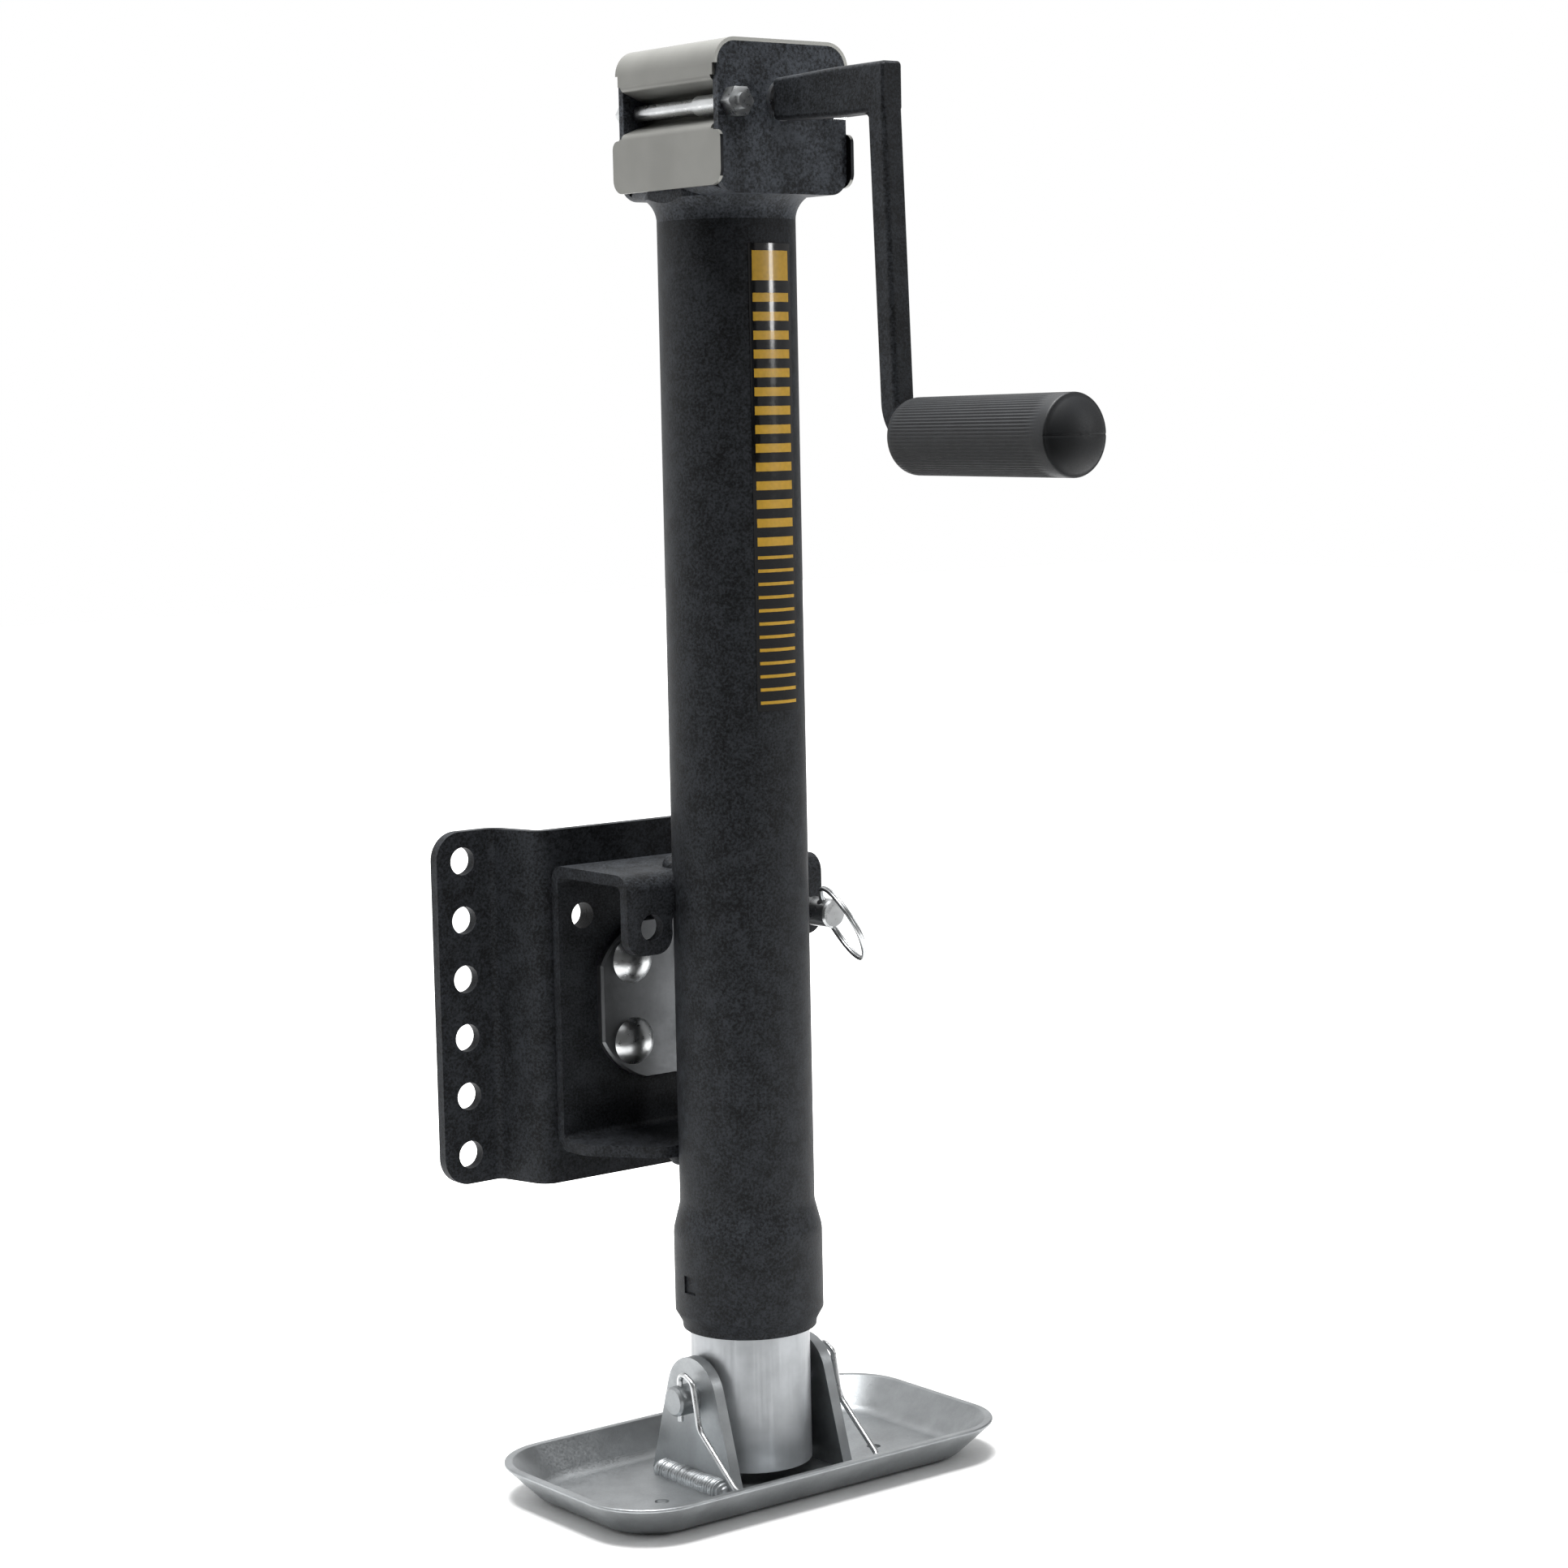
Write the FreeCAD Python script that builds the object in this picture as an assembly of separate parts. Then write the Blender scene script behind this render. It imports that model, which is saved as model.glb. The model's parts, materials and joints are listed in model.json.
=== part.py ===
import FreeCAD, Part

# Side-wind trailer tongue jack with a swivel mount and a pinned foot plate.
# Frame: millimetres, +Z up, origin on the axis of the tubes at the underside of the foot plate.
# The crank points along -Y, the mounting bracket is on the +Y side, the foot is long in X.

import math
import os

V = FreeCAD.Vector
X_AXIS = V(1, 0, 0)
Y_AXIS = V(0, 1, 0)
Z_AXIS = V(0, 0, 1)

# ---------------------------------------------------------------- clearances
RUNNING_FIT = 0.10          # radial clearance of a pin or shaft in its hole
FLOAT_GAP = 0.15            # end float between a turning face and its neighbour
SLIDE_GAP = 0.45            # radial clearance of the leg in the outer tube

# ---------------------------------------------------------------- leg and outer tube
LEG_RADIUS = 25.4
LEG_WALL = 2.6
LEG_FLOOR_GAP = 5.0         # gap from the foot plate to the leg's bottom end
LEG_LENGTH = 508.0
TRAVEL = 381.0              # stroke of the leg, used for the screw's length
TUBE_RADIUS = 28.575
TUBE_WALL = TUBE_RADIUS - LEG_RADIUS - SLIDE_GAP
TUBE_LENGTH = 463.0
COLLAR_BOTTOM = 66.0        # bottom edge of the swaged collar when fully retracted
COLLAR_RADIUS = 31.5
COLLAR_LENGTH = 42.0        # full-diameter stretch with its turned-in mouth
SWAGE_LENGTH = 11.5
MOUTH_HEIGHT = 7.5          # turned-in mouth of the collar
MOUTH_RADIUS = 28.4
MOUTH_LIP = 0.3             # the lip grows by this before the turned-in part
BUSH_LENGTH = 28.0          # wear bush held inside the collar
DIMPLE_SIDE = 7.5
DIMPLE_DEPTH = 1.2
DIMPLE_HEIGHT = 21.5        # above the collar's bottom edge
DIMPLE_ANGLE = 180.0

# ---------------------------------------------------------------- foot
FOOT_SHEET = 3.0
FOOT_LENGTH = 209.0         # over the rim, along X
FOOT_WIDTH = 114.0          # over the rim, along Y
FOOT_HEIGHT = 16.0
FOOT_FLARE = 14.5           # how far the sides lean out
FOOT_CORNER = 30.0
FOOT_BEND = 8.0             # inside bend between floor and sides
FOOT_RIM_EDGE = 0.8
FOOT_HOLE_RADIUS = 3.0
FOOT_HOLE_X = 57.0
FOOT_HOLE_Y = -12.0
EAR_THICKNESS = 4.75
EAR_CLEARANCE = 1.5         # between an ear and the leg
EAR_TOP_RADIUS = 17.0
EAR_BASE_HALF = 29.0
EAR_WELD = 5.5
PIN_HEIGHT = 39.5           # foot pin axis above the ground
PIN_RADIUS = 6.35
PIN_OVERHANG = 10.0         # foot pin beyond each ear
CLIP_WIRE_RADIUS = 1.25
CLIP_OFFSET = 6.0           # wire plane outside the ear's face
CLIP_REACH = 40.0           # crossbar in front of the pin
CLIP_BAR_HEIGHT = 7.5       # crossbar above the ground
CLIP_TAIL = 2.5             # wire end below the pin
CLIP_LOOP_HEIGHT = 13.0     # top of the hook above the pin's axis
CLIP_LOOP_REACH = 9.0
CLIP_KNEE_REACH = 13.0      # knee of the wire, in front of and below the pin's axis
CLIP_KNEE_DROP = 10.0
CLIP_HOOK_BEND = 3.2
CLIP_KNEE_BEND = 9.0
CLIP_BAR_BEND = 5.0

# ---------------------------------------------------------------- gear housing
NECK_HEIGHT = 9.0
NECK_FLARE = 4.5            # how far the neck sweeps out under the housing
HOUSING_SHEET = 3.0
HOUSING_HALF_WIDTH = 32.5
HOUSING_FRONT = -39.0       # outer face of the front plate
HOUSING_REAR = 28.25        # outer face of the rear plate
HOUSING_SKIRT = 7.0         # closed band above the neck
SHAFT_ABOVE_FLOOR = 37.0    # crank axis above the neck's top
HOUSING_ABOVE_SHAFT = 22.5
HOUSING_CORNER = 9.0        # upper corners of the end plates
HOUSING_LOW_CORNER = 8.0
HOUSING_STEP = 1.5          # box behind the edges of its end plates
COVER_SHEET = 1.5
COVER_TAB_Y = 3.0           # how far the cover's tabs pass the plates
COVER_TAB_TOP = 12.5        # below the crank axis
COVER_BOTTOM_ABOVE_FLOOR = 3.0
COVER_TAB_TOP_RADIUS = 3.5
COVER_TAB_LOW_RADIUS = 6.0
GROOVE_CLEARANCE = 0.5      # groove floor to the bolt's sleeve
GROOVE_BLEND = 3.0          # height of the bends above and below the groove
GROOVE_HALF_HEIGHT = 7.5
EDGE_SETBACK = 1.6          # cover behind the plates' outer faces between tab and chamfer
BOLT_RADIUS = 3.175
BOLT_X = 25.0
BOLT_BELOW_SHAFT = 1.5
BOLT_HEAD_FLATS = 11.1
BOLT_HEAD_HEIGHT = 4.2
BOLT_NUT_HEIGHT = 5.5
BOLT_TAIL = 2.6             # thread standing out of the nut
SLEEVE_RADIUS = 4.1
SLEEVE_LENGTH = 19.0

# ---------------------------------------------------------------- drive
SHAFT_RADIUS = 6.35
SHAFT_BUSH_RADIUS = 8.2
SHAFT_BUSH_STAND = 2.4      # bush beyond the outer face of its plate
SHAFT_SOCKET = 18.0         # spigot length held in the handle
CLIP_RING_THICKNESS = 1.2
CLIP_RING_RADIUS = 9.5
PINION_TEETH = 14
GEAR_TEETH = 22
GEAR_MODULE = 2.07
GEAR_FACE = 7.0
GEAR_BACKLASH = 0.42
PINION_HUB_RADIUS = 11.5
PINION_HUB_LENGTH = 7.0
GEAR_HUB_RADIUS = 13.0
ROLL_PIN_RADIUS = 2.0
SCREW_RADIUS = 9.525
SCREW_STUB_RADIUS = 7.9
SCREW_TAIL = 12.0           # screw below the nut at full travel
SHOULDER_RADIUS = 15.0
SHOULDER_HEIGHT = 5.0
RACE_RADIUS = 16.0
RACE_THICKNESS = 2.4
BALL_RADIUS = 2.0
BALL_COUNT = 14
BALL_CIRCLE = 12.2
BEARING_PLATE = 6.0
BEARING_PLATE_RADIUS = 27.0
NUT_HEIGHT = 14.0
NUT_DEPTH = 2.0             # nut below the leg's top end

# ---------------------------------------------------------------- crank handle
SPIGOT_RADIUS = 4.75        # turned-down end of the crank shaft, held in the lug
LUG_GAP = 1.0               # from the shaft's bush to the handle
LUG_NEAR_HALF_WIDTH = 7.0   # lug at the shaft
LUG_NEAR_HALF_HEIGHT = 8.3
LUG_HALF_HEIGHT = 9.5       # lug at the arm, as wide as the bar
LUG_TAPER = 34.0
LUG_EDGE = 1.8
BAR_SIDE = 10.2             # square bar of the arm
BAR_EDGE = 2.2
ARM_REACH = 63.3            # arm axis in front of the housing's front plate, at the crank axis
ARM_DROP = 134.5            # from the crank axis down to the grip axis
ARM_LEAN = 2.4              # degrees, away from the housing
ARM_BEND = 14.0
LUG_FILLET = 5.0
AXLE_RADIUS = 4.75
GRIP_START = 76.0           # near end of the grip in front of the front plate
GRIP_LENGTH = 99.0
GRIP_DOME = 5.5
GRIP_DOME_EDGE = 0.8
GRIP_MOUTH_RADIUS = 9.8     # recess round the axle's bend
GRIP_MOUTH_DEPTH = 7.5
GRIP_END_WALL = 12.0        # grip beyond the axle's end
GRIP_NEAR_RADIUS = 15.1
GRIP_FAR_RADIUS = 15.8
GRIP_EDGE = 4.0

# ---------------------------------------------------------------- swivel and mounting bracket
STEEL_PLATE = 4.8
SWIVEL_HEIGHT = 134.0       # swivel axis above the collar's bottom edge
CHANNEL_FRONT = 10.0        # outer face of the front lip
CHANNEL_BACK = 65.3         # rear face of the back plate
CHANNEL_HALF_WIDTH = 51.5
CHANNEL_HALF_HEIGHT = 61.5
CHANNEL_BEND = 7.5
LIP_DEPTH = 18.0
TAB_WIDTH = 23.0
TAB_BELOW_HOLE = 11.5
TAB_CORNER = 8.0
LOWER_SHELF_FRONT = 18.0
LOCK_OFFSET = 39.0          # lock holes from the swivel axis, in X and in Z
LOCK_PIN_RADIUS = 5.5
LOCK_PIN_EDGE = 0.8
LOCK_PIN_FRONT = -14.0
LOCK_HEAD_RADIUS = 6.2
LOCK_HEAD_LENGTH = 14.0     # keeps clear of the front lip when the pin is home
LOCK_PIN_RING_INSET = 5.0
LOCK_TIP_GAP = 0.3          # pin tip clear of the crown when pulled
LOCK_WASHER_RADIUS = 9.0
LOCK_WASHER_THICKNESS = 1.6
LOCK_WASHER_SETBACK = 14.0  # washer in front of the back plate
LOCK_CROSS_PIN_RADIUS = 1.5
SPRING_WIRE = 0.9
SPRING_TURNS = 6
RING_RADIUS = 17.0
RING_WIRE_RADIUS = 1.1
RING_HOLE_CLEARANCE = 1.0   # the hole is straight and the ring is curved
SPACER_RADIUS = 29.0
DISC_RADIUS = 36.5
DISC_THICKNESS = 3.8
DISC_FLAT_X = 32.5
DISC_FLAT_Z = 35.0
DISC_BEVEL = 1.0
RIVET_X = 16.2
RIVET_Z = 17.8
RIVET_RADIUS = 4.0
RIVET_HEAD_RADIUS = 10.2
RIVET_HEAD_HEIGHT = 5.8
RIVET_TAIL_RADIUS = 7.0
RIVET_TAIL_HEIGHT = 2.5
CROWN_HALF_WIDTH = 58.0
WALL_SPREAD = 7.0           # side walls lean out by this much
HAT_DEPTH = 24.4            # crown face to flange face
FLANGE_EDGE = 93.0
BRACKET_HALF_HEIGHT = 76.2
FLANGE_CORNER = 12.0
BOLT_HOLE_X = 80.0
BOLT_HOLE_PITCH = 25.4
BOLT_HOLE_COUNT = 6
BOLT_HOLE_RADIUS = 5.95
TUBE_WELD = 4.5

# ---------------------------------------------------------------- label
LABEL_THICKNESS = 0.25
LABEL_LENGTH = 190.0
LABEL_TOP_BELOW_TUBE_TOP = 10.0
LABEL_START = -20.0         # degrees from -Y towards +X
LABEL_END = 25.0

# ---------------------------------------------------------------- derived heights and places
LEG_BOTTOM = FOOT_SHEET + LEG_FLOOR_GAP
LEG_TOP = LEG_BOTTOM + LEG_LENGTH
TUBE_TOP = COLLAR_BOTTOM + TUBE_LENGTH
HOUSING_FLOOR = TUBE_TOP + NECK_HEIGHT
SHAFT_Z = HOUSING_FLOOR + SHAFT_ABOVE_FLOOR
HOUSING_TOP = SHAFT_Z + HOUSING_ABOVE_SHAFT
SWIVEL_Z = COLLAR_BOTTOM + SWIVEL_HEIGHT
GRIP_Z = SHAFT_Z - ARM_DROP
LEG_BORE = LEG_RADIUS - LEG_WALL
NUT_TOP = LEG_TOP - NUT_DEPTH
NUT_BOTTOM = NUT_TOP - NUT_HEIGHT
SCREW_BOTTOM = NUT_BOTTOM - TRAVEL - SCREW_TAIL
PLATE_TOP = TUBE_TOP + BEARING_PLATE
PLATE_BORE = SCREW_STUB_RADIUS + RUNNING_FIT
UPPER_RACE_BOTTOM = TUBE_TOP - RACE_THICKNESS
BALL_LEVEL = UPPER_RACE_BOTTOM - BALL_RADIUS
LOWER_RACE_TOP = BALL_LEVEL - BALL_RADIUS
SHOULDER_TOP = LOWER_RACE_TOP - RACE_THICKNESS
BUSH_INSIDE = LEG_RADIUS + RUNNING_FIT
CHANNEL_INSIDE = CHANNEL_BACK - STEEL_PLATE
CROWN_FACE = CHANNEL_BACK + FLOAT_GAP
CROWN_BACK = CROWN_FACE + STEEL_PLATE
DISC_BACK = CHANNEL_INSIDE - FLOAT_GAP
DISC_FACE = DISC_BACK - DISC_THICKNESS
FLANGE_FACE = CROWN_FACE + HAT_DEPTH
FLANGE_BACK = FLANGE_FACE + STEEL_PLATE
LOCK_Z = SWIVEL_Z + LOCK_OFFSET
LOCK_HOLE_RADIUS = LOCK_PIN_RADIUS + RUNNING_FIT
EAR_INSIDE = LEG_RADIUS + EAR_CLEARANCE
EAR_OUTSIDE = EAR_INSIDE + EAR_THICKNESS
ARM_Y = HOUSING_FRONT - ARM_REACH
BOLT_Z = SHAFT_Z - BOLT_BELOW_SHAFT


# ---------------------------------------------------------------- shape helpers
def box(x0, x1, y0, y1, z0, z1):
    return Part.makeBox(x1 - x0, y1 - y0, z1 - z0, V(x0, y0, z0))


def rod(radius, start, end):
    axis = end - start
    return Part.makeCylinder(radius, axis.Length, start, axis)


def sleeve(outer, inner, start, end):
    return rod(outer, start, end).cut(rod(inner, start, end))


def turned(profile, base=V(0, 0, 0), axis=Z_AXIS):
    """A solid turned about an axis from a closed outline of (radius, height) points."""
    side = V(1, 0, 0) if abs(axis.x) < 0.9 else V(0, 1, 0)
    points = [base + side * r + axis * h for r, h in profile]
    face = Part.Face(Part.makePolygon(points + points[:1]))
    return face.revolve(base, axis, 360)


def outline(corners, place):
    """A closed wire through (u, v, radius) corners, each rounded by its radius."""
    flat = [V(u, v, 0) for u, v, _ in corners]
    ends = []
    for index, (_, _, radius) in enumerate(corners):
        here = flat[index]
        before = flat[index - 1] - here
        after = flat[(index + 1) % len(flat)] - here
        if radius <= 0:
            ends.append((here, None, here))
            continue
        half = before.getAngle(after) / 2
        reach = radius / math.tan(half)
        before.normalize()
        after.normalize()
        middle_line = before + after
        middle_line.normalize()
        centre = here + middle_line * (radius / math.sin(half))
        middle = centre - middle_line * radius
        ends.append((here + before * reach, middle, here + after * reach))
    edges = []
    for index, (start, middle, end) in enumerate(ends):
        if middle is not None:
            edges.append(Part.Arc(place(start), place(middle), place(end)).toShape())
        following = ends[(index + 1) % len(ends)][0]
        if (following - end).Length > 1e-6:
            edges.append(Part.LineSegment(place(end), place(following)).toShape())
    return Part.Wire(edges)


def prism(corners, place, depth):
    """A plate of the rounded outline, pushed along the vector depth."""
    return Part.Face(outline(corners, place)).extrude(depth)


def on_xz(y):
    return lambda p: V(p.x, y, p.y)


def on_xy(z):
    return lambda p: V(p.x, p.y, z)


def on_yz(x):
    return lambda p: V(x, p.x, p.y)


def hexagon(flats, height, base, axis):
    """A hexagonal nut or head blank standing on base along axis."""
    radius = flats / math.sqrt(3)
    side = V(1, 0, 0) if abs(axis.x) < 0.9 else V(0, 1, 0)
    other = axis.cross(side)
    points = []
    for corner in range(7):
        angle = math.radians(60 * corner)
        points.append(base + side * (radius * math.cos(angle)) + other * (radius * math.sin(angle)))
    blank = Part.Face(Part.makePolygon(points)).extrude(axis * height)
    crown = Part.makeCone(radius + height, flats / 2 - 0.4, height + radius - flats / 2 + 0.4,
                          base, axis)
    return blank.common(crown)


def mirrored(shape):
    return shape.mirror(V(0, 0, 0), X_AXIS)


def wire_sweep(path, radius):
    """A round wire of the given radius along a path of joined edges."""
    first = path.OrderedEdges[0]
    start = first.valueAt(first.FirstParameter)
    direction = first.tangentAt(first.FirstParameter)
    end = first.valueAt(first.LastParameter)
    if (path.OrderedVertexes[0].Point - start).Length > 1e-6:
        start = end
        direction = first.tangentAt(first.LastParameter) * -1
    section = Part.Wire([Part.Circle(start, direction, radius).toShape()])
    return path.makePipeShell([section], True, True)


def bent_wire(points, radii, radius):
    """A round wire through points, with each inner corner bent to its radius."""
    edges = []
    start = points[0]
    for index in range(1, len(points) - 1):
        here = points[index]
        before = points[index - 1] - here
        after = points[index + 1] - here
        half = before.getAngle(after) / 2
        reach = radii[index - 1] / math.tan(half)
        before.normalize()
        after.normalize()
        middle_line = before + after
        middle_line.normalize()
        middle = here + middle_line * (radii[index - 1] / math.sin(half) - radii[index - 1])
        bend_start = here + before * reach
        bend_end = here + after * reach
        edges.append(Part.LineSegment(start, bend_start).toShape())
        edges.append(Part.Arc(bend_start, middle, bend_end).toShape())
        start = bend_end
    edges.append(Part.LineSegment(start, points[-1]).toShape())
    return wire_sweep(Part.Wire(edges), radius)


# ---------------------------------------------------------------- outer tube and leg
def outer_tube():
    bottom = COLLAR_BOTTOM
    collar_top = bottom + COLLAR_LENGTH
    swage_top = collar_top + SWAGE_LENGTH
    inner = TUBE_RADIUS - TUBE_WALL
    collar_inner = COLLAR_RADIUS - TUBE_WALL
    profile = [
        (MOUTH_RADIUS, bottom),
        (MOUTH_RADIUS + MOUTH_LIP, bottom + MOUTH_HEIGHT / 3),
        (COLLAR_RADIUS, bottom + MOUTH_HEIGHT),
        (COLLAR_RADIUS, collar_top),
        (TUBE_RADIUS, swage_top),
        (TUBE_RADIUS, TUBE_TOP),
        (inner, TUBE_TOP),
        (inner, swage_top),
        (collar_inner, collar_top),
        (collar_inner, bottom + MOUTH_HEIGHT - TUBE_WALL / 3),
        (inner, bottom + MOUTH_HEIGHT / 3),
        (inner, bottom),
    ]
    tube = turned(profile)
    edges = [e for e in tube.Edges if e.Closed and abs(e.BoundBox.ZMin - e.BoundBox.ZMax) < 1e-6
             and collar_top - 1 < e.BoundBox.ZMin < swage_top + 1]
    tube = tube.makeFillet(SWAGE_LENGTH, [e for e in edges if e.BoundBox.XMax > TUBE_RADIUS - 0.1])
    for angle in (DIMPLE_ANGLE, DIMPLE_ANGLE + 180):
        punch = box(COLLAR_RADIUS - DIMPLE_DEPTH, COLLAR_RADIUS + 1, -DIMPLE_SIDE / 2,
                    DIMPLE_SIDE / 2, bottom + DIMPLE_HEIGHT - DIMPLE_SIDE / 2,
                    bottom + DIMPLE_HEIGHT + DIMPLE_SIDE / 2)
        punch.rotate(V(0, 0, 0), Z_AXIS, angle)
        tube = tube.cut(punch)
    return tube


def wear_bush():
    low = COLLAR_BOTTOM + MOUTH_HEIGHT
    outer = COLLAR_RADIUS - TUBE_WALL
    return sleeve(outer, BUSH_INSIDE, V(0, 0, low), V(0, 0, low + BUSH_LENGTH))


def inner_leg():
    tube = sleeve(LEG_RADIUS, LEG_BORE, V(0, 0, LEG_BOTTOM), V(0, 0, LEG_TOP))
    hole = rod(PIN_RADIUS + RUNNING_FIT, V(-60, 0, PIN_HEIGHT), V(60, 0, PIN_HEIGHT))
    return tube.cut(hole)


def leg_nut():
    blank = rod(LEG_BORE, V(0, 0, NUT_BOTTOM), V(0, 0, NUT_TOP))
    return blank.cut(rod(SCREW_RADIUS + RUNNING_FIT, V(0, 0, NUT_BOTTOM), V(0, 0, NUT_TOP)))


# ---------------------------------------------------------------- foot
def tray_wires(inset, rise):
    """Bottom and rim outlines of the tray, moved in by inset and up by rise."""
    wires = []
    for level, lean in ((0.0, FOOT_FLARE), (FOOT_HEIGHT, 0.0)):
        half_x = FOOT_LENGTH / 2 - lean - inset
        half_y = FOOT_WIDTH / 2 - lean - inset
        corner = FOOT_CORNER - lean / 2 - inset
        corners = [(-half_x, -half_y, corner), (half_x, -half_y, corner),
                   (half_x, half_y, corner), (-half_x, half_y, corner)]
        wires.append(outline(corners, on_xy(level + rise)))
    return wires


def foot_plate():
    slope = FOOT_FLARE / FOOT_HEIGHT
    side_inset = FOOT_SHEET * (math.hypot(1, slope) - slope)
    outside = Part.makeLoft(tray_wires(0, 0), True, True)
    inside = Part.makeLoft(tray_wires(side_inset, FOOT_SHEET), True, True)
    bottom_edges = [e for e in outside.Edges if e.BoundBox.ZMax < 0.01]
    outside = outside.makeFillet(FOOT_BEND + FOOT_SHEET, bottom_edges)
    floor_edges = [e for e in inside.Edges if e.BoundBox.ZMax < FOOT_SHEET + 0.01]
    inside = inside.makeFillet(FOOT_BEND, floor_edges)
    tray = outside.cut(inside)
    tray = tray.makeFillet(FOOT_RIM_EDGE, [e for e in tray.Edges if e.BoundBox.ZMin > FOOT_HEIGHT - 0.01])
    for side in (-1, 1):
        x = side * FOOT_HOLE_X
        tray = tray.cut(rod(FOOT_HOLE_RADIUS, V(x, FOOT_HOLE_Y, -1), V(x, FOOT_HOLE_Y, FOOT_SHEET + 1)))
    return tray


def foot_ears():
    """Two upright ears with round tops, standing on the tray either side of the leg."""
    drop = PIN_HEIGHT - FOOT_SHEET
    span = math.hypot(EAR_BASE_HALF, drop)
    lean = math.atan2(EAR_BASE_HALF, drop) - math.asin(EAR_TOP_RADIUS / span)
    touch_y = EAR_TOP_RADIUS * math.cos(lean)
    touch_z = PIN_HEIGHT + EAR_TOP_RADIUS * math.sin(lean)
    ears = []
    for side in (-1, 1):
        x = side * EAR_INSIDE if side > 0 else -EAR_OUTSIDE
        edges = [
            Part.LineSegment(V(x, -EAR_BASE_HALF, FOOT_SHEET), V(x, EAR_BASE_HALF, FOOT_SHEET)).toShape(),
            Part.LineSegment(V(x, EAR_BASE_HALF, FOOT_SHEET), V(x, touch_y, touch_z)).toShape(),
            Part.Arc(V(x, touch_y, touch_z), V(x, 0, PIN_HEIGHT + EAR_TOP_RADIUS),
                     V(x, -touch_y, touch_z)).toShape(),
            Part.LineSegment(V(x, -touch_y, touch_z), V(x, -EAR_BASE_HALF, FOOT_SHEET)).toShape(),
        ]
        plate = Part.Face(Part.Wire(edges)).extrude(V(EAR_THICKNESS, 0, 0))
        hole = rod(PIN_RADIUS + RUNNING_FIT, V(x - 1, 0, PIN_HEIGHT), V(x + EAR_THICKNESS + 1, 0, PIN_HEIGHT))
        ears.append(plate.cut(hole))
    return Part.makeCompound(ears)


def ear_welds():
    """Fillet welds along the outer foot of each ear."""
    half = EAR_BASE_HALF - 4
    face = Part.Face(Part.makePolygon([
        V(-EAR_OUTSIDE, -half, FOOT_SHEET), V(-EAR_OUTSIDE - EAR_WELD, -half, FOOT_SHEET),
        V(-EAR_OUTSIDE, -half, FOOT_SHEET + EAR_WELD), V(-EAR_OUTSIDE, -half, FOOT_SHEET)]))
    bead = face.extrude(V(0, 2 * half, 0))
    return Part.makeCompound([bead, mirrored(bead)])


def foot_pin():
    end = EAR_OUTSIDE + PIN_OVERHANG
    pin = rod(PIN_RADIUS, V(-end, 0, PIN_HEIGHT), V(end, 0, PIN_HEIGHT))
    rims = [e for e in pin.Edges if e.Closed and e.BoundBox.XLength < 0.01]
    pin = pin.makeChamfer(1.0, rims)
    for side in (-1, 1):
        x = side * (EAR_OUTSIDE + CLIP_OFFSET)
        pin = pin.cut(rod(CLIP_WIRE_RADIUS, V(x, 0, PIN_HEIGHT - 12), V(x, 0, PIN_HEIGHT + 12)))
    return pin


def pin_clip():
    """A wire bail whose ends pass up through the pin and hook over to the front bar."""
    x = EAR_OUTSIDE + CLIP_OFFSET
    z = PIN_HEIGHT
    half = [
        V(x, -CLIP_REACH, CLIP_BAR_HEIGHT),
        V(x, -CLIP_KNEE_REACH, z - CLIP_KNEE_DROP),
        V(x, -CLIP_LOOP_REACH, z + CLIP_LOOP_REACH),
        V(x, 0, z + CLIP_LOOP_HEIGHT),
        V(x, 0, z - PIN_RADIUS - CLIP_TAIL),
    ]
    bends = [CLIP_BAR_BEND, CLIP_KNEE_BEND, CLIP_HOOK_BEND, CLIP_HOOK_BEND]
    other = [V(-p.x, p.y, p.z) for p in reversed(half)]
    return bent_wire(other + half, bends[::-1] + bends, CLIP_WIRE_RADIUS)


# ---------------------------------------------------------------- gear housing
def plate_corners(inset, top, top_corner):
    """Front outline of the housing, moved in by inset."""
    half = HOUSING_HALF_WIDTH - inset
    low = HOUSING_FLOOR + inset
    low_corner = HOUSING_LOW_CORNER - inset
    lower = [(-half, low, low_corner), (half, low, low_corner)]
    return lower + [(half, top, top_corner), (-half, top, top_corner)]


def housing_plan(inset, low, top):
    """A block over the housing's plan between two heights, moved in by inset."""
    half = HOUSING_HALF_WIDTH - HOUSING_STEP - inset
    front = HOUSING_FRONT + inset
    rear = HOUSING_REAR - inset
    corner = HOUSING_LOW_CORNER - inset
    corners = [(-half, front, corner), (half, front, corner), (half, rear, corner), (-half, rear, corner)]
    return prism(corners, on_xy(low), V(0, 0, top - low))


def flared_neck(radius, bottom, top):
    """A solid round neck that sweeps out from the tube's top to the housing's floor."""
    sweep = (NECK_FLARE ** 2 + NECK_HEIGHT ** 2) / (2 * NECK_FLARE)
    half_turn = math.asin(NECK_HEIGHT / sweep) / 2
    middle = V(radius + sweep * (1 - math.cos(half_turn)), 0, TUBE_TOP + sweep * math.sin(half_turn))
    wide = radius + NECK_FLARE
    edges = [Part.Arc(V(radius, 0, TUBE_TOP), middle, V(wide, 0, HOUSING_FLOOR)).toShape()]
    run = [V(wide, 0, HOUSING_FLOOR), V(wide, 0, top), V(0, 0, top), V(0, 0, bottom), V(radius, 0, bottom),
           V(radius, 0, TUBE_TOP)]
    for start, end in zip(run, run[1:]):
        if (end - start).Length > 1e-6:
            edges.append(Part.LineSegment(start, end).toShape())
    return Part.Face(Part.Wire(edges)).revolve(V(0, 0, 0), Z_AXIS, 360)


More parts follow.
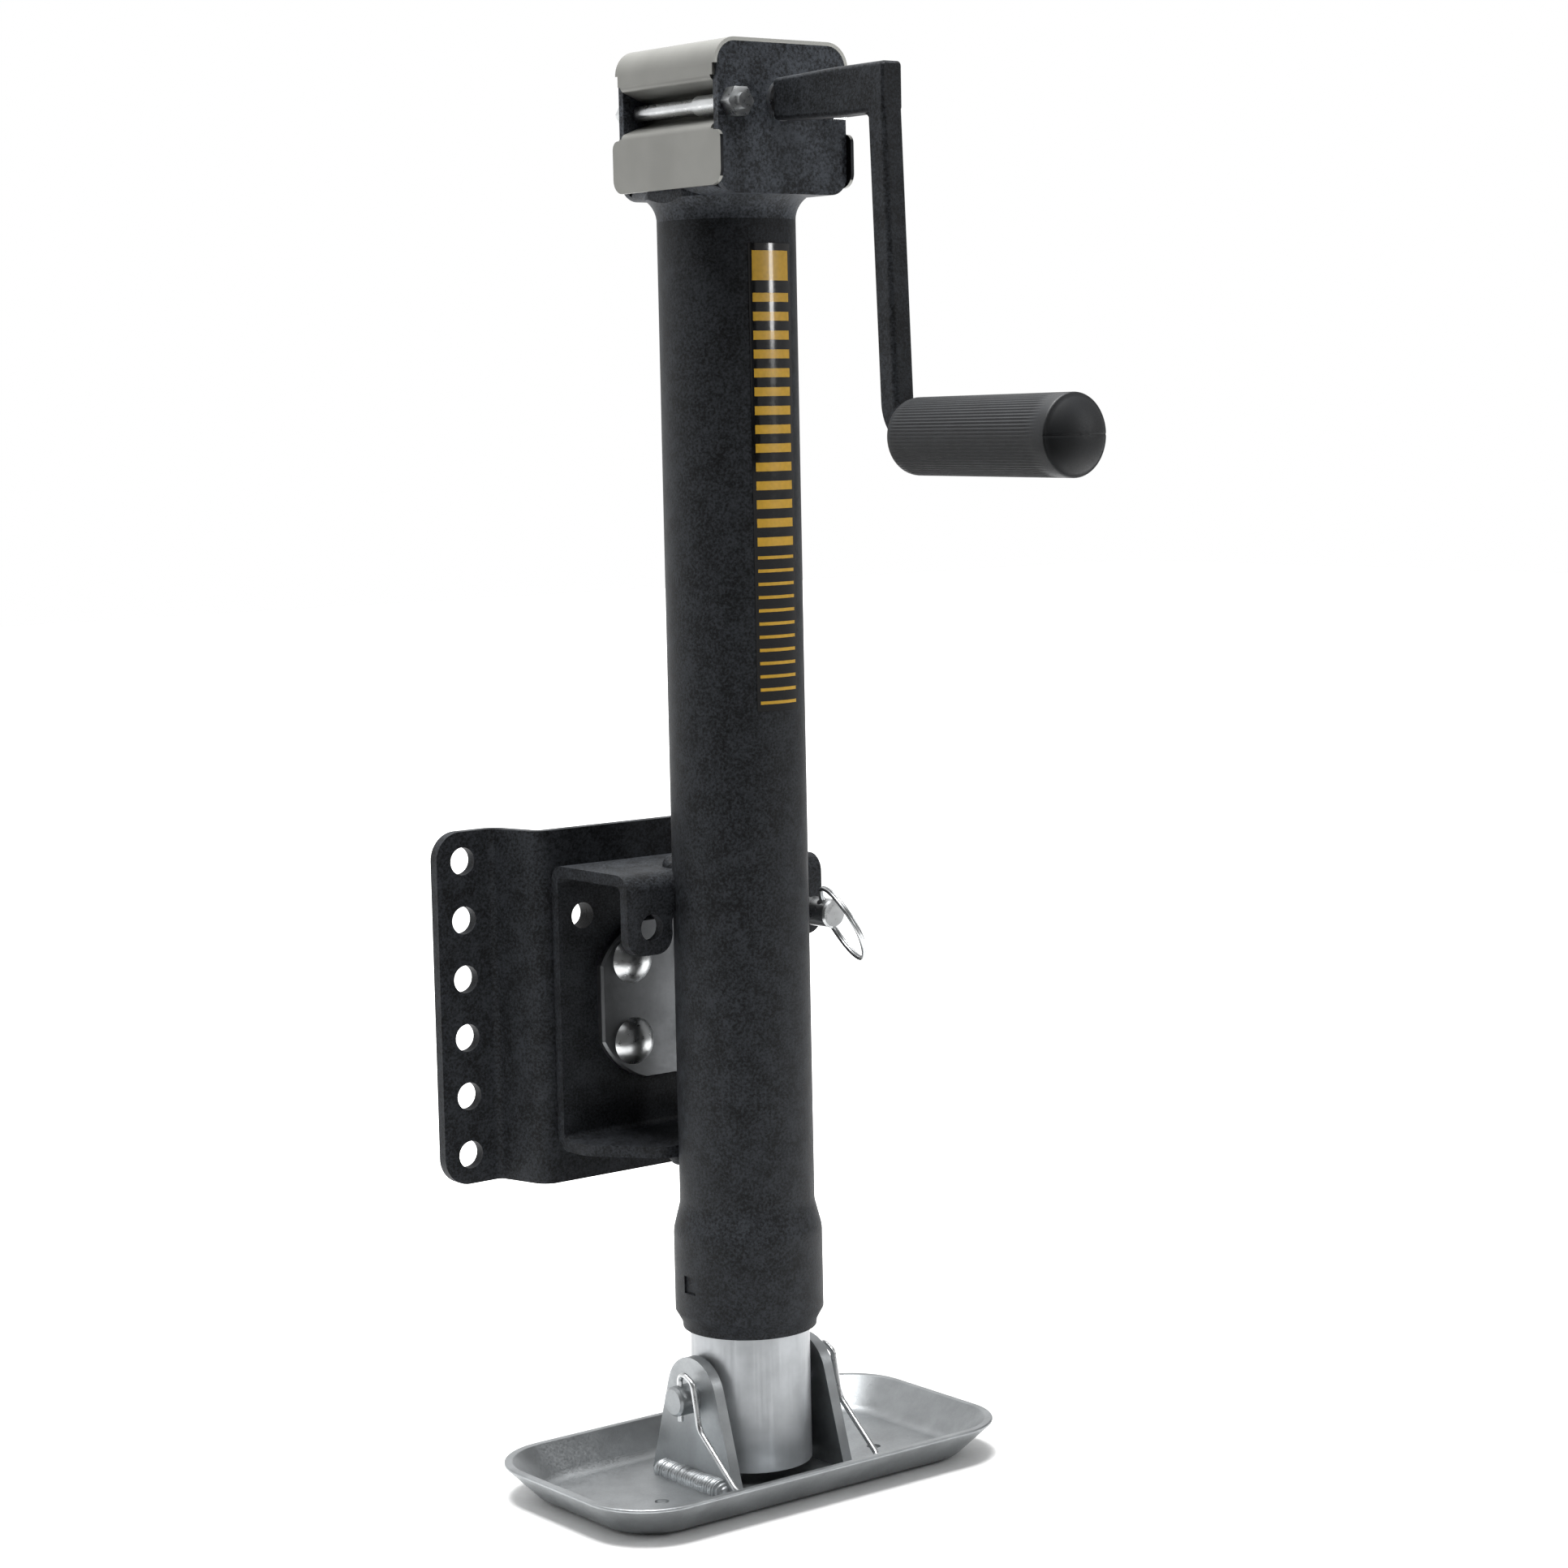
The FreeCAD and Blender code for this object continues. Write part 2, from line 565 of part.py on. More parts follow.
def housing_block(inset, low, high):
    """Solid of the neck and box, moved in by inset; low and high extend its two ends."""
    top = HOUSING_TOP + high
    top_corner = 0 if high > 0 else HOUSING_CORNER
    front_view = prism(plate_corners(inset, top, top_corner), on_xz(HOUSING_FRONT - 1),
                       V(0, HOUSING_REAR - HOUSING_FRONT + 2, 0))
    block = housing_plan(inset, HOUSING_FLOOR + inset, top).common(front_view)
    neck_top = HOUSING_FLOOR + inset + HOUSING_LOW_CORNER / 2
    neck = flared_neck(TUBE_RADIUS - inset, TUBE_TOP - low, neck_top)
    neck = neck.common(housing_plan(inset, TUBE_TOP - low - 1, neck_top + 1))
    return block.fuse(neck)


def gear_housing():
    half = HOUSING_HALF_WIDTH
    shell = housing_block(0, 0, 0).cut(housing_block(HOUSING_SHEET, 1, 1))
    window = box(-half - 5, half + 5, HOUSING_FRONT + HOUSING_SHEET, HOUSING_REAR - HOUSING_SHEET,
                 HOUSING_FLOOR + HOUSING_SKIRT, HOUSING_TOP + 5)
    shell = shell.cut(window)
    for y in (HOUSING_FRONT, HOUSING_REAR - HOUSING_SHEET):
        corners = plate_corners(0, HOUSING_TOP, HOUSING_CORNER)
        shell = shell.fuse(prism(corners, on_xz(y), V(0, HOUSING_SHEET, 0)))
    through = [rod(SHAFT_BUSH_RADIUS, V(0, -80, SHAFT_Z), V(0, 80, SHAFT_Z)),
               rod(BEARING_PLATE_RADIUS, V(0, 0, TUBE_TOP), V(0, 0, PLATE_TOP))]
    for side in (-1, 1):
        x = side * BOLT_X
        through.append(rod(BOLT_RADIUS, V(x, -80, BOLT_Z), V(x, 80, BOLT_Z)))
    for hole in through:
        shell = shell.cut(hole)
    return shell


def head_cover():
    """The inverted-U sheet over the gears, with a bolt groove and a wide tab on each leg."""
    outside = HOUSING_HALF_WIDTH + COVER_SHEET
    inside = HOUSING_HALF_WIDTH
    corner_low = HOUSING_TOP - HOUSING_CORNER
    groove_top = BOLT_Z + GROOVE_HALF_HEIGHT
    groove_bottom = BOLT_Z - GROOVE_HALF_HEIGHT
    floor_x = BOLT_X - SLEEVE_RADIUS - GROOVE_CLEARANCE
    tab_bottom = HOUSING_FLOOR + COVER_BOTTOM_ABOVE_FLOOR
    t = COVER_SHEET
    right_side = [
        (outside, groove_top + 1.5, 3.0),
        (floor_x, BOLT_Z + 3.8, 3.0),
        (floor_x, BOLT_Z - 3.8, 3.0),
        (outside, groove_bottom - 1.5, 3.0),
        (outside, tab_bottom, 0),
        (inside, tab_bottom, 0),
        (inside, groove_bottom - 1.0, 1.5),
        (floor_x - t, BOLT_Z - 4.6, 3.0 + t),
        (floor_x - t, BOLT_Z + 4.6, 3.0 + t),
        (inside, groove_top + 1.0, 1.5),
    ]
    outer_run = [(outside, HOUSING_TOP + t, HOUSING_CORNER + t)] + right_side[:6]
    inner_run = right_side[6:] + [(inside, HOUSING_TOP, HOUSING_CORNER)]
    left_outer = [(-u, v, r) for u, v, r in reversed(outer_run)]
    left_inner = [(-u, v, r) for u, v, r in reversed(inner_run)]
    corners = outer_run + inner_run + left_inner + left_outer
    front = HOUSING_FRONT - COVER_TAB_Y
    rear = HOUSING_REAR + COVER_TAB_Y
    sheet = prism(corners, on_xz(front), V(0, rear - front, 0))
    tab_top = SHAFT_Z - COVER_TAB_TOP
    inner_front = HOUSING_FRONT + HOUSING_SHEET + FLOAT_GAP
    inner_rear = HOUSING_REAR - HOUSING_SHEET - FLOAT_GAP
    wide = outside + 5
    trims = []
    for y0, y1, z0, z1 in (
        (front - 1, HOUSING_FRONT, corner_low, HOUSING_TOP + 9),
        (HOUSING_REAR, rear + 1, corner_low, HOUSING_TOP + 9),
        (front - 1, HOUSING_FRONT + EDGE_SETBACK, groove_top, corner_low),
        (HOUSING_REAR - EDGE_SETBACK, rear + 1, groove_top, corner_low),
        (front - 1, inner_front, groove_bottom - GROOVE_BLEND, groove_top + GROOVE_BLEND),
        (inner_rear, rear + 1, groove_bottom - GROOVE_BLEND, groove_top + GROOVE_BLEND),
        (front - 1, HOUSING_FRONT + EDGE_SETBACK, tab_top, groove_bottom),
        (HOUSING_REAR - EDGE_SETBACK, rear + 1, tab_top, groove_bottom),
    ):
        if z1 > z0:
            trims.append(box(-wide, wide, y0, y1, z0, z1))
    for trim in trims:
        sheet = sheet.cut(trim)
    for z, radius in ((tab_top, COVER_TAB_TOP_RADIUS), (tab_bottom, COVER_TAB_LOW_RADIUS)):
        corners = [e for e in sheet.Edges if is_tab_corner(e, (front, rear), z)]
        sheet = sheet.makeFillet(radius, corners)
    return sheet


def is_tab_corner(edge, ends, z):
    """True for a short edge through the sheet at one of the tab's corners."""
    b = edge.BoundBox
    across = b.YLength < 0.01 and b.ZLength < 0.01 and abs(b.XLength - COVER_SHEET) < 0.01
    return across and abs(b.ZMin - z) < 0.01 and min(abs(b.YMin - end) for end in ends) < 0.01


def cover_bolts():
    bolts = []
    for side in (-1, 1):
        x = side * BOLT_X
        shank = rod(BOLT_RADIUS, V(x, HOUSING_REAR, BOLT_Z),
                    V(x, HOUSING_FRONT - BOLT_NUT_HEIGHT - BOLT_TAIL, BOLT_Z))
        head = hexagon(BOLT_HEAD_FLATS, BOLT_HEAD_HEIGHT, V(x, HOUSING_REAR, BOLT_Z), Y_AXIS)
        bolts.append(shank.fuse(head))
    return Part.makeCompound(bolts)


def cover_nuts():
    nuts = []
    for side in (-1, 1):
        x = side * BOLT_X
        nut = hexagon(BOLT_HEAD_FLATS, BOLT_NUT_HEIGHT, V(x, HOUSING_FRONT, BOLT_Z), Y_AXIS * -1)
        nuts.append(nut.cut(rod(BOLT_RADIUS, V(x, -80, BOLT_Z), V(x, 0, BOLT_Z))))
    return Part.makeCompound(nuts)


def bolt_sleeves():
    """Short spacer sleeves on the bolts against the front plate."""
    sleeves = []
    start = HOUSING_FRONT + HOUSING_SHEET
    for side in (-1, 1):
        x = side * BOLT_X
        sleeves.append(sleeve(SLEEVE_RADIUS, BOLT_RADIUS, V(x, start, BOLT_Z),
                              V(x, start + SLEEVE_LENGTH, BOLT_Z)))
    return Part.makeCompound(sleeves)


def shaft_bush(outer_face, direction):
    """A plain bush pressed into a plate, standing out of its outer face."""
    start = V(0, outer_face - direction * HOUSING_SHEET, SHAFT_Z)
    end = V(0, outer_face + direction * SHAFT_BUSH_STAND, SHAFT_Z)
    return sleeve(SHAFT_BUSH_RADIUS, SHAFT_RADIUS + RUNNING_FIT, start, end)


def bearing_plate():
    """The round plate welded in the neck that carries the screw's thrust."""
    return sleeve(BEARING_PLATE_RADIUS, PLATE_BORE, V(0, 0, TUBE_TOP), V(0, 0, PLATE_TOP))


def race(bottom):
    return sleeve(RACE_RADIUS, PLATE_BORE, V(0, 0, bottom), V(0, 0, bottom + RACE_THICKNESS))


def bearing_balls():
    balls = []
    for index in range(BALL_COUNT):
        angle = 2 * math.pi * index / BALL_COUNT
        centre = V(BALL_CIRCLE * math.cos(angle), BALL_CIRCLE * math.sin(angle), BALL_LEVEL)
        balls.append(Part.makeSphere(BALL_RADIUS - 0.03, centre))
    return Part.makeCompound(balls)


# ---------------------------------------------------------------- bevel gears and screw
def bevel_gear(teeth, mate_teeth, hub_radius, hub_bottom, bore, tooth_first):
    """A straight bevel gear below its apex at the origin, its axis along Z.

    The teeth are scaled towards the apex, so every flank is a true cone face.
    A tooth centre (or a gap, if tooth_first is False) points along +X.
    """
    pitch_radius = GEAR_MODULE * teeth / 2
    mate_radius = GEAR_MODULE * mate_teeth / 2
    cone = math.hypot(pitch_radius, mate_radius)
    angle = math.atan2(pitch_radius, mate_radius)
    along = V(math.sin(angle), 0, -math.cos(angle))
    normal = V(math.cos(angle), 0, math.sin(angle))
    inner = (cone - GEAR_FACE) / cone
    addendum = 0.92 * GEAR_MODULE
    dedendum = 1.16 * GEAR_MODULE
    root = along * cone - normal * dedendum
    inner_root = root * inner
    heel = root - normal * 2.2
    profile = [
        V(bore, 0, inner_root.z), inner_root, root, V(heel.x, 0, heel.z),
        V(hub_radius, 0, heel.z), V(hub_radius, 0, hub_bottom), V(bore, 0, hub_bottom),
    ]
    blank = Part.Face(Part.makePolygon(profile + profile[:1])).revolve(V(0, 0, 0), Z_AXIS, 360)
    half_pitch = (math.pi * GEAR_MODULE / 2 - GEAR_BACKLASH) / 2
    flank = math.tan(math.radians(21))
    widths = [
        (-dedendum - 0.35, half_pitch + flank * dedendum * 0.9),
        (-dedendum * 0.55, half_pitch + flank * dedendum * 0.50),
        (0.0, half_pitch),
        (addendum * 0.55, half_pitch - flank * addendum * 0.62),
        (addendum, half_pitch - flank * addendum * 1.3),
    ]
    side = V(0, 1, 0)
    large = [along * cone + normal * h + side * w for h, w in widths]
    large += [along * cone + normal * h - side * w for h, w in reversed(widths)]
    small = [p * inner for p in large]
    tooth = Part.makeLoft([Part.makePolygon(large + large[:1]), Part.makePolygon(small + small[:1])],
                          True, True)
    turn = 360.0 / teeth
    solids = []
    for index in range(teeth):
        copy = tooth.copy()
        copy.rotate(V(0, 0, 0), Z_AXIS, turn * (index + (0 if tooth_first else 0.5)))
        solids.append(copy)
    return blank.multiFuse(solids).removeSplitter()


def drive_pinion():
    """The small gear on the crank shaft, with its hub towards the crank."""
    mate = GEAR_MODULE * GEAR_TEETH / 2
    gear = bevel_gear(PINION_TEETH, GEAR_TEETH, PINION_HUB_RADIUS, -mate - PINION_HUB_LENGTH,
                      SHAFT_RADIUS, True)
    gear.rotate(V(0, 0, 0), Z_AXIS, -90)
    gear.rotate(V(0, 0, 0), X_AXIS, -90)
    gear.translate(V(0, 0, SHAFT_Z))
    y = pinion_pin_y()
    return gear.cut(rod(ROLL_PIN_RADIUS, V(0, y, SHAFT_Z - 30), V(0, y, SHAFT_Z + 30)))


def pinion_pin_y():
    return -GEAR_MODULE * GEAR_TEETH / 2 - PINION_HUB_LENGTH / 2 - 1.0


def pinion_roll_pin():
    y = pinion_pin_y()
    reach = PINION_HUB_RADIUS - 0.5
    return rod(ROLL_PIN_RADIUS, V(0, y, SHAFT_Z - reach), V(0, y, SHAFT_Z + reach))


def gear_hub_bottom():
    return PLATE_TOP + FLOAT_GAP - SHAFT_Z


def gear_pin_z():
    return PLATE_TOP + FLOAT_GAP + 4.5


def screw_gear():
    """The large gear on the screw's stub, resting just above the bearing plate."""
    gear = bevel_gear(GEAR_TEETH, PINION_TEETH, GEAR_HUB_RADIUS, gear_hub_bottom(),
                      SCREW_STUB_RADIUS, False)
    gear.rotate(V(0, 0, 0), Z_AXIS, -90)
    gear.translate(V(0, 0, SHAFT_Z))
    z = gear_pin_z()
    return gear.cut(rod(ROLL_PIN_RADIUS, V(-40, 0, z), V(40, 0, z)))


def gear_roll_pin():
    z = gear_pin_z()
    reach = GEAR_HUB_RADIUS - 0.5
    return rod(ROLL_PIN_RADIUS, V(-reach, 0, z), V(reach, 0, z))


def stub_top():
    """Top of the screw's stub, just under the crank shaft."""
    return SHAFT_Z - SHAFT_RADIUS - 2.0


def lead_screw():
    screw = rod(SCREW_RADIUS, V(0, 0, SCREW_BOTTOM), V(0, 0, SHOULDER_TOP))
    screw = screw.makeChamfer(1.5, [e for e in screw.Edges if e.BoundBox.ZMax < SCREW_BOTTOM + 0.1])
    screw = screw.fuse(rod(SHOULDER_RADIUS, V(0, 0, SHOULDER_TOP - SHOULDER_HEIGHT),
                           V(0, 0, SHOULDER_TOP)))
    screw = screw.fuse(rod(SCREW_STUB_RADIUS, V(0, 0, SHOULDER_TOP), V(0, 0, stub_top())))
    z = gear_pin_z()
    return screw.cut(rod(ROLL_PIN_RADIUS, V(-40, 0, z), V(40, 0, z)))


def crank_shaft():
    front = lug_start()
    rear = HOUSING_REAR + SHAFT_BUSH_STAND + FLOAT_GAP + CLIP_RING_THICKNESS + 2.5
    shaft = rod(SHAFT_RADIUS, V(0, front, SHAFT_Z), V(0, rear, SHAFT_Z))
    shaft = shaft.fuse(rod(SPIGOT_RADIUS, V(0, front - SHAFT_SOCKET, SHAFT_Z), V(0, front, SHAFT_Z)))
    groove_start = HOUSING_REAR + SHAFT_BUSH_STAND + FLOAT_GAP
    groove = sleeve(SHAFT_RADIUS + 1, SHAFT_RADIUS - 1.2, V(0, groove_start, SHAFT_Z),
                    V(0, groove_start + CLIP_RING_THICKNESS, SHAFT_Z))
    y = pinion_pin_y()
    return shaft.cut(groove).cut(rod(ROLL_PIN_RADIUS, V(0, y, SHAFT_Z - 30), V(0, y, SHAFT_Z + 30)))


def shaft_clip():
    """An open retaining ring in the shaft's rear groove."""
    start = HOUSING_REAR + SHAFT_BUSH_STAND + FLOAT_GAP
    ring = sleeve(CLIP_RING_RADIUS, SHAFT_RADIUS - 1.2, V(0, start, SHAFT_Z),
                  V(0, start + CLIP_RING_THICKNESS, SHAFT_Z))
    mouth = box(-3.6, 3.6, start - 1, start + CLIP_RING_THICKNESS + 1, SHAFT_Z - 20, SHAFT_Z)
    return ring.cut(mouth)


# ---------------------------------------------------------------- crank handle and grip
def lug_start():
    return HOUSING_FRONT - SHAFT_BUSH_STAND - LUG_GAP


def lug_section(y, half_width, half_height):
    """Rounded rectangle of the lug in the plane across the crank shaft."""
    corners = [(-half_width, SHAFT_Z - half_height, LUG_EDGE), (half_width, SHAFT_Z - half_height, LUG_EDGE),
               (half_width, SHAFT_Z + half_height, LUG_EDGE), (-half_width, SHAFT_Z + half_height, LUG_EDGE)]
    return outline(corners, on_xz(y))


def square_section(centre, across):
    """The rounded square of the arm's bar, in the plane of X and the unit vector across."""
    half = BAR_SIDE / 2
    corners = [(-half, -half, BAR_EDGE), (half, -half, BAR_EDGE), (half, half, BAR_EDGE),
               (-half, half, BAR_EDGE)]
    return Part.Face(outline(corners, lambda p: centre + X_AXIS * p.x + across * p.y))


def crank_handle():
    """A flat lug on the shaft's spigot, a square arm leaning outwards and the grip's axle."""
    lean = math.radians(ARM_LEAN)
    down = V(0, -math.sin(lean), -math.cos(lean))
    inwards = V(0, -math.cos(lean), math.sin(lean))
    corner = V(0, ARM_Y - ARM_DROP * math.tan(lean), GRIP_Z)
    turn = 90 - ARM_LEAN
    reach = ARM_BEND * math.tan(math.radians(turn / 2))
    top = V(0, ARM_Y, SHAFT_Z)
    bend_start = corner - down * reach
    arm = square_section(top, inwards).extrude(bend_start - top)
    bend_centre = bend_start + inwards * ARM_BEND
    bend = square_section(bend_start, inwards).revolve(bend_centre, X_AXIS * -1, turn)
    axle_end = HOUSING_FRONT - GRIP_START - GRIP_LENGTH + GRIP_END_WALL
    axle = rod(AXLE_RADIUS, corner - V(0, reach - 0.5, 0), V(0, axle_end, GRIP_Z))

    start = lug_start()
    half = BAR_SIDE / 2
    tip = ARM_Y - half - 0.2
    near = lug_section(start, LUG_NEAR_HALF_WIDTH, LUG_NEAR_HALF_HEIGHT)
    far = lug_section(start - LUG_TAPER, half, LUG_HALF_HEIGHT)
    taper = Part.makeLoft([near, far], True, True)
    lug = Part.Face(far).extrude(V(0, tip - start + LUG_TAPER, 0))
    lug = lug.makeChamfer(LUG_EDGE / 2, [e for e in lug.Edges if e.BoundBox.YMax < tip + 0.01])
    inner_y = ARM_Y + half
    low = SHAFT_Z - LUG_HALF_HEIGHT
    web = prism([
        (inner_y + LUG_FILLET + 2.5, low + 3, 0), (inner_y - 3, low + 3, 0),
        (inner_y - 3, low - LUG_FILLET, 0), (inner_y - 0.5, low - LUG_FILLET, 0),
        (inner_y - 0.2, low, LUG_FILLET - 0.8), (inner_y + LUG_FILLET + 2.5, low, 0),
    ], on_yz(-half + LUG_EDGE), V(2 * (half - LUG_EDGE), 0, 0))
    handle = arm.fuse([bend, axle, taper, lug, web])
    socket = rod(SPIGOT_RADIUS, V(0, start - SHAFT_SOCKET, SHAFT_Z), V(0, start + 1, SHAFT_Z))
    return handle.cut(socket)


def handle_grip():
    """A grip turning on the handle's axle, with a shallow dome and a mouth round the bend."""
    base = V(0, HOUSING_FRONT - GRIP_START, GRIP_Z)
    down = V(0, -1, 0)
    side = V(1, 0, 0)
    bore = AXLE_RADIUS + RUNNING_FIT
    bore_end = GRIP_LENGTH - GRIP_END_WALL + 0.5
    rim_height = GRIP_LENGTH - GRIP_DOME
    slope = (GRIP_FAR_RADIUS - GRIP_NEAR_RADIUS) / rim_height
    start_radius = GRIP_NEAR_RADIUS + slope * GRIP_EDGE
    rim_radius = GRIP_FAR_RADIUS - GRIP_DOME_EDGE
    bulge = (rim_radius ** 2 + GRIP_DOME ** 2) / (2 * GRIP_DOME)
    half = rim_radius / 2
    half_height = GRIP_LENGTH - bulge + math.sqrt(bulge ** 2 - half ** 2)
    diagonal = math.sqrt(0.5)

    def at(r, h):
        return base + side * r + down * h

    edges = [
        Part.LineSegment(at(GRIP_MOUTH_RADIUS, 0), at(start_radius - GRIP_EDGE, 0)).toShape(),
        Part.Arc(at(start_radius - GRIP_EDGE, 0),
                 at(start_radius - GRIP_EDGE * (1 - diagonal), GRIP_EDGE * (1 - diagonal)),
                 at(start_radius, GRIP_EDGE)).toShape(),
        Part.LineSegment(at(start_radius, GRIP_EDGE),
                         at(GRIP_FAR_RADIUS, rim_height - GRIP_DOME_EDGE)).toShape(),
        Part.LineSegment(at(GRIP_FAR_RADIUS, rim_height - GRIP_DOME_EDGE),
                         at(rim_radius, rim_height)).toShape(),
        Part.Arc(at(rim_radius, rim_height), at(half, half_height), at(0, GRIP_LENGTH)).toShape(),
        Part.LineSegment(at(0, GRIP_LENGTH), at(0, bore_end)).toShape(),
        Part.LineSegment(at(0, bore_end), at(bore, bore_end)).toShape(),
        Part.LineSegment(at(bore, bore_end), at(bore, GRIP_MOUTH_DEPTH)).toShape(),
        Part.LineSegment(at(bore, GRIP_MOUTH_DEPTH), at(GRIP_MOUTH_RADIUS, GRIP_MOUTH_DEPTH)).toShape(),
        Part.LineSegment(at(GRIP_MOUTH_RADIUS, GRIP_MOUTH_DEPTH), at(GRIP_MOUTH_RADIUS, 0)).toShape(),
    ]
    return Part.Face(Part.Wire(edges)).revolve(base, down, 360)


# ---------------------------------------------------------------- swivel bracket on the tube
def swivel_bracket():
    top = SWIVEL_Z + CHANNEL_HALF_HEIGHT
    bottom = SWIVEL_Z - CHANNEL_HALF_HEIGHT
    t = STEEL_PLATE
    outer = CHANNEL_BEND
    inner = CHANNEL_BEND - t
    tab_bottom = LOCK_Z - TAB_BELOW_HOLE
    channel = prism([
        (CHANNEL_FRONT, tab_bottom, 0), (CHANNEL_FRONT, top, outer), (CHANNEL_BACK, top, outer),
        (CHANNEL_BACK, bottom, outer), (LOWER_SHELF_FRONT, bottom, 0), (LOWER_SHELF_FRONT, bottom + t, 0),
        (CHANNEL_INSIDE, bottom + t, inner), (CHANNEL_INSIDE, top - t, inner),
        (CHANNEL_FRONT + t, top - t, inner), (CHANNEL_FRONT + t, tab_bottom, 0),
    ], on_yz(-CHANNEL_HALF_WIDTH), V(2 * CHANNEL_HALF_WIDTH, 0, 0))
    tab_inside = CHANNEL_HALF_WIDTH - TAB_WIDTH
    gap = prism([
        (-tab_inside, tab_bottom - 5, 0), (tab_inside, tab_bottom - 5, 0),
        (tab_inside, top - LIP_DEPTH, 3.0), (-tab_inside, top - LIP_DEPTH, 3.0),
    ], on_xz(CHANNEL_FRONT - 1), V(0, t + 2, 0))
    channel = channel.cut(gap)
    shelf_zone = box(-80, 80, LOWER_SHELF_FRONT - 1, CHANNEL_INSIDE - 3, bottom - 1, bottom + t + 1)
    shelf = prism([
        (-CHANNEL_HALF_WIDTH, CHANNEL_BACK, 0), (-CHANNEL_HALF_WIDTH, 46, 18), (-29, LOWER_SHELF_FRONT, 8),
        (29, LOWER_SHELF_FRONT, 8), (CHANNEL_HALF_WIDTH, 46, 18), (CHANNEL_HALF_WIDTH, CHANNEL_BACK, 0),
    ], on_xy(bottom - 2), V(0, 0, t + 4))
    channel = channel.cut(shelf_zone.cut(shelf))
    for side in (-1, 1):
        for x, z in ((tab_inside, tab_bottom), (CHANNEL_HALF_WIDTH, tab_bottom)):
            corner_edges = []
            for edge in channel.Edges:
                b = edge.BoundBox
                if b.XLength < 0.01 and b.ZLength < 0.01 and b.YLength < t + 0.1:
                    if abs(b.XMin - side * x) < 0.01 and abs(b.ZMin - z) < 0.01:
                        corner_edges.append(edge)
            channel = channel.makeFillet(TAB_CORNER, corner_edges)
    channel = channel.cut(rod(TUBE_RADIUS, V(0, 0, bottom - 5), V(0, 0, top + 5)))
    channel = channel.cut(rod(SPACER_RADIUS + RUNNING_FIT, V(0, CHANNEL_INSIDE - 1, SWIVEL_Z),
                              V(0, CHANNEL_BACK + 1, SWIVEL_Z)))
    for side in (-1, 1):
        x = side * LOCK_OFFSET
        channel = channel.cut(rod(LOCK_HOLE_RADIUS, V(x, 0, LOCK_Z), V(x, 90, LOCK_Z)))
    return channel


def tube_welds():
    """Fillet welds round the tube on the upper and lower shelves of the swivel bracket."""
    top = SWIVEL_Z + CHANNEL_HALF_HEIGHT
    bottom = SWIVEL_Z - CHANNEL_HALF_HEIGHT
    beads = []
    for z, rise in ((top, TUBE_WELD), (bottom, -TUBE_WELD)):
        low_angle = 40
        start = V(math.cos(math.radians(low_angle)), math.sin(math.radians(low_angle)), 0)
        a = start * TUBE_RADIUS + V(0, 0, z)
        b = start * (TUBE_RADIUS + TUBE_WELD) + V(0, 0, z)
        c = start * TUBE_RADIUS + V(0, 0, z + rise)
        bead = Part.Face(Part.makePolygon([a, b, c, a])).revolve(V(0, 0, 0), Z_AXIS, 180 - 2 * low_angle)
        beads.append(bead)
    return Part.makeCompound(beads)


# ---------------------------------------------------------------- lock pin
def lock_tip():
    return CROWN_FACE - LOCK_TIP_GAP


def washer_front():
    return CHANNEL_INSIDE - LOCK_WASHER_SETBACK


def lock_pin():
    pin = rod(LOCK_PIN_RADIUS, V(LOCK_OFFSET, LOCK_PIN_FRONT, LOCK_Z), V(LOCK_OFFSET, lock_tip(), LOCK_Z))
    pin = pin.fuse(rod(LOCK_HEAD_RADIUS, V(LOCK_OFFSET, LOCK_PIN_FRONT, LOCK_Z),
                       V(LOCK_OFFSET, LOCK_PIN_FRONT + LOCK_HEAD_LENGTH, LOCK_Z)))
    pin = pin.makeChamfer(LOCK_PIN_EDGE, [e for e in pin.Edges if e.Closed and e.BoundBox.YLength < 0.01
                                          and (e.BoundBox.YMin < LOCK_PIN_FRONT + 0.01
                                               or e.BoundBox.YMin > lock_tip() - 0.01)])
    y = LOCK_PIN_FRONT + LOCK_PIN_RING_INSET
    hole = V(LOCK_OFFSET, y, LOCK_Z)
    pin = pin.cut(rod(RING_WIRE_RADIUS + RING_HOLE_CLEARANCE, hole - ring_hole_axis() * 10,
                      hole + ring_hole_axis() * 10))
    y = washer_front() + LOCK_WASHER_THICKNESS + LOCK_CROSS_PIN_RADIUS
    return pin.cut(rod(LOCK_CROSS_PIN_RADIUS, V(LOCK_OFFSET - 20, y, LOCK_Z), V(LOCK_OFFSET + 20, y, LOCK_Z)))


def lock_washer():
    y = washer_front()
    return sleeve(LOCK_WASHER_RADIUS, LOCK_PIN_RADIUS, V(LOCK_OFFSET, y, LOCK_Z),
                  V(LOCK_OFFSET, y + LOCK_WASHER_THICKNESS, LOCK_Z))


def lock_cross_pin():
    y = washer_front() + LOCK_WASHER_THICKNESS + LOCK_CROSS_PIN_RADIUS
    reach = LOCK_WASHER_RADIUS - 0.5
    return rod(LOCK_CROSS_PIN_RADIUS, V(LOCK_OFFSET - reach, y, LOCK_Z), V(LOCK_OFFSET + reach, y, LOCK_Z))


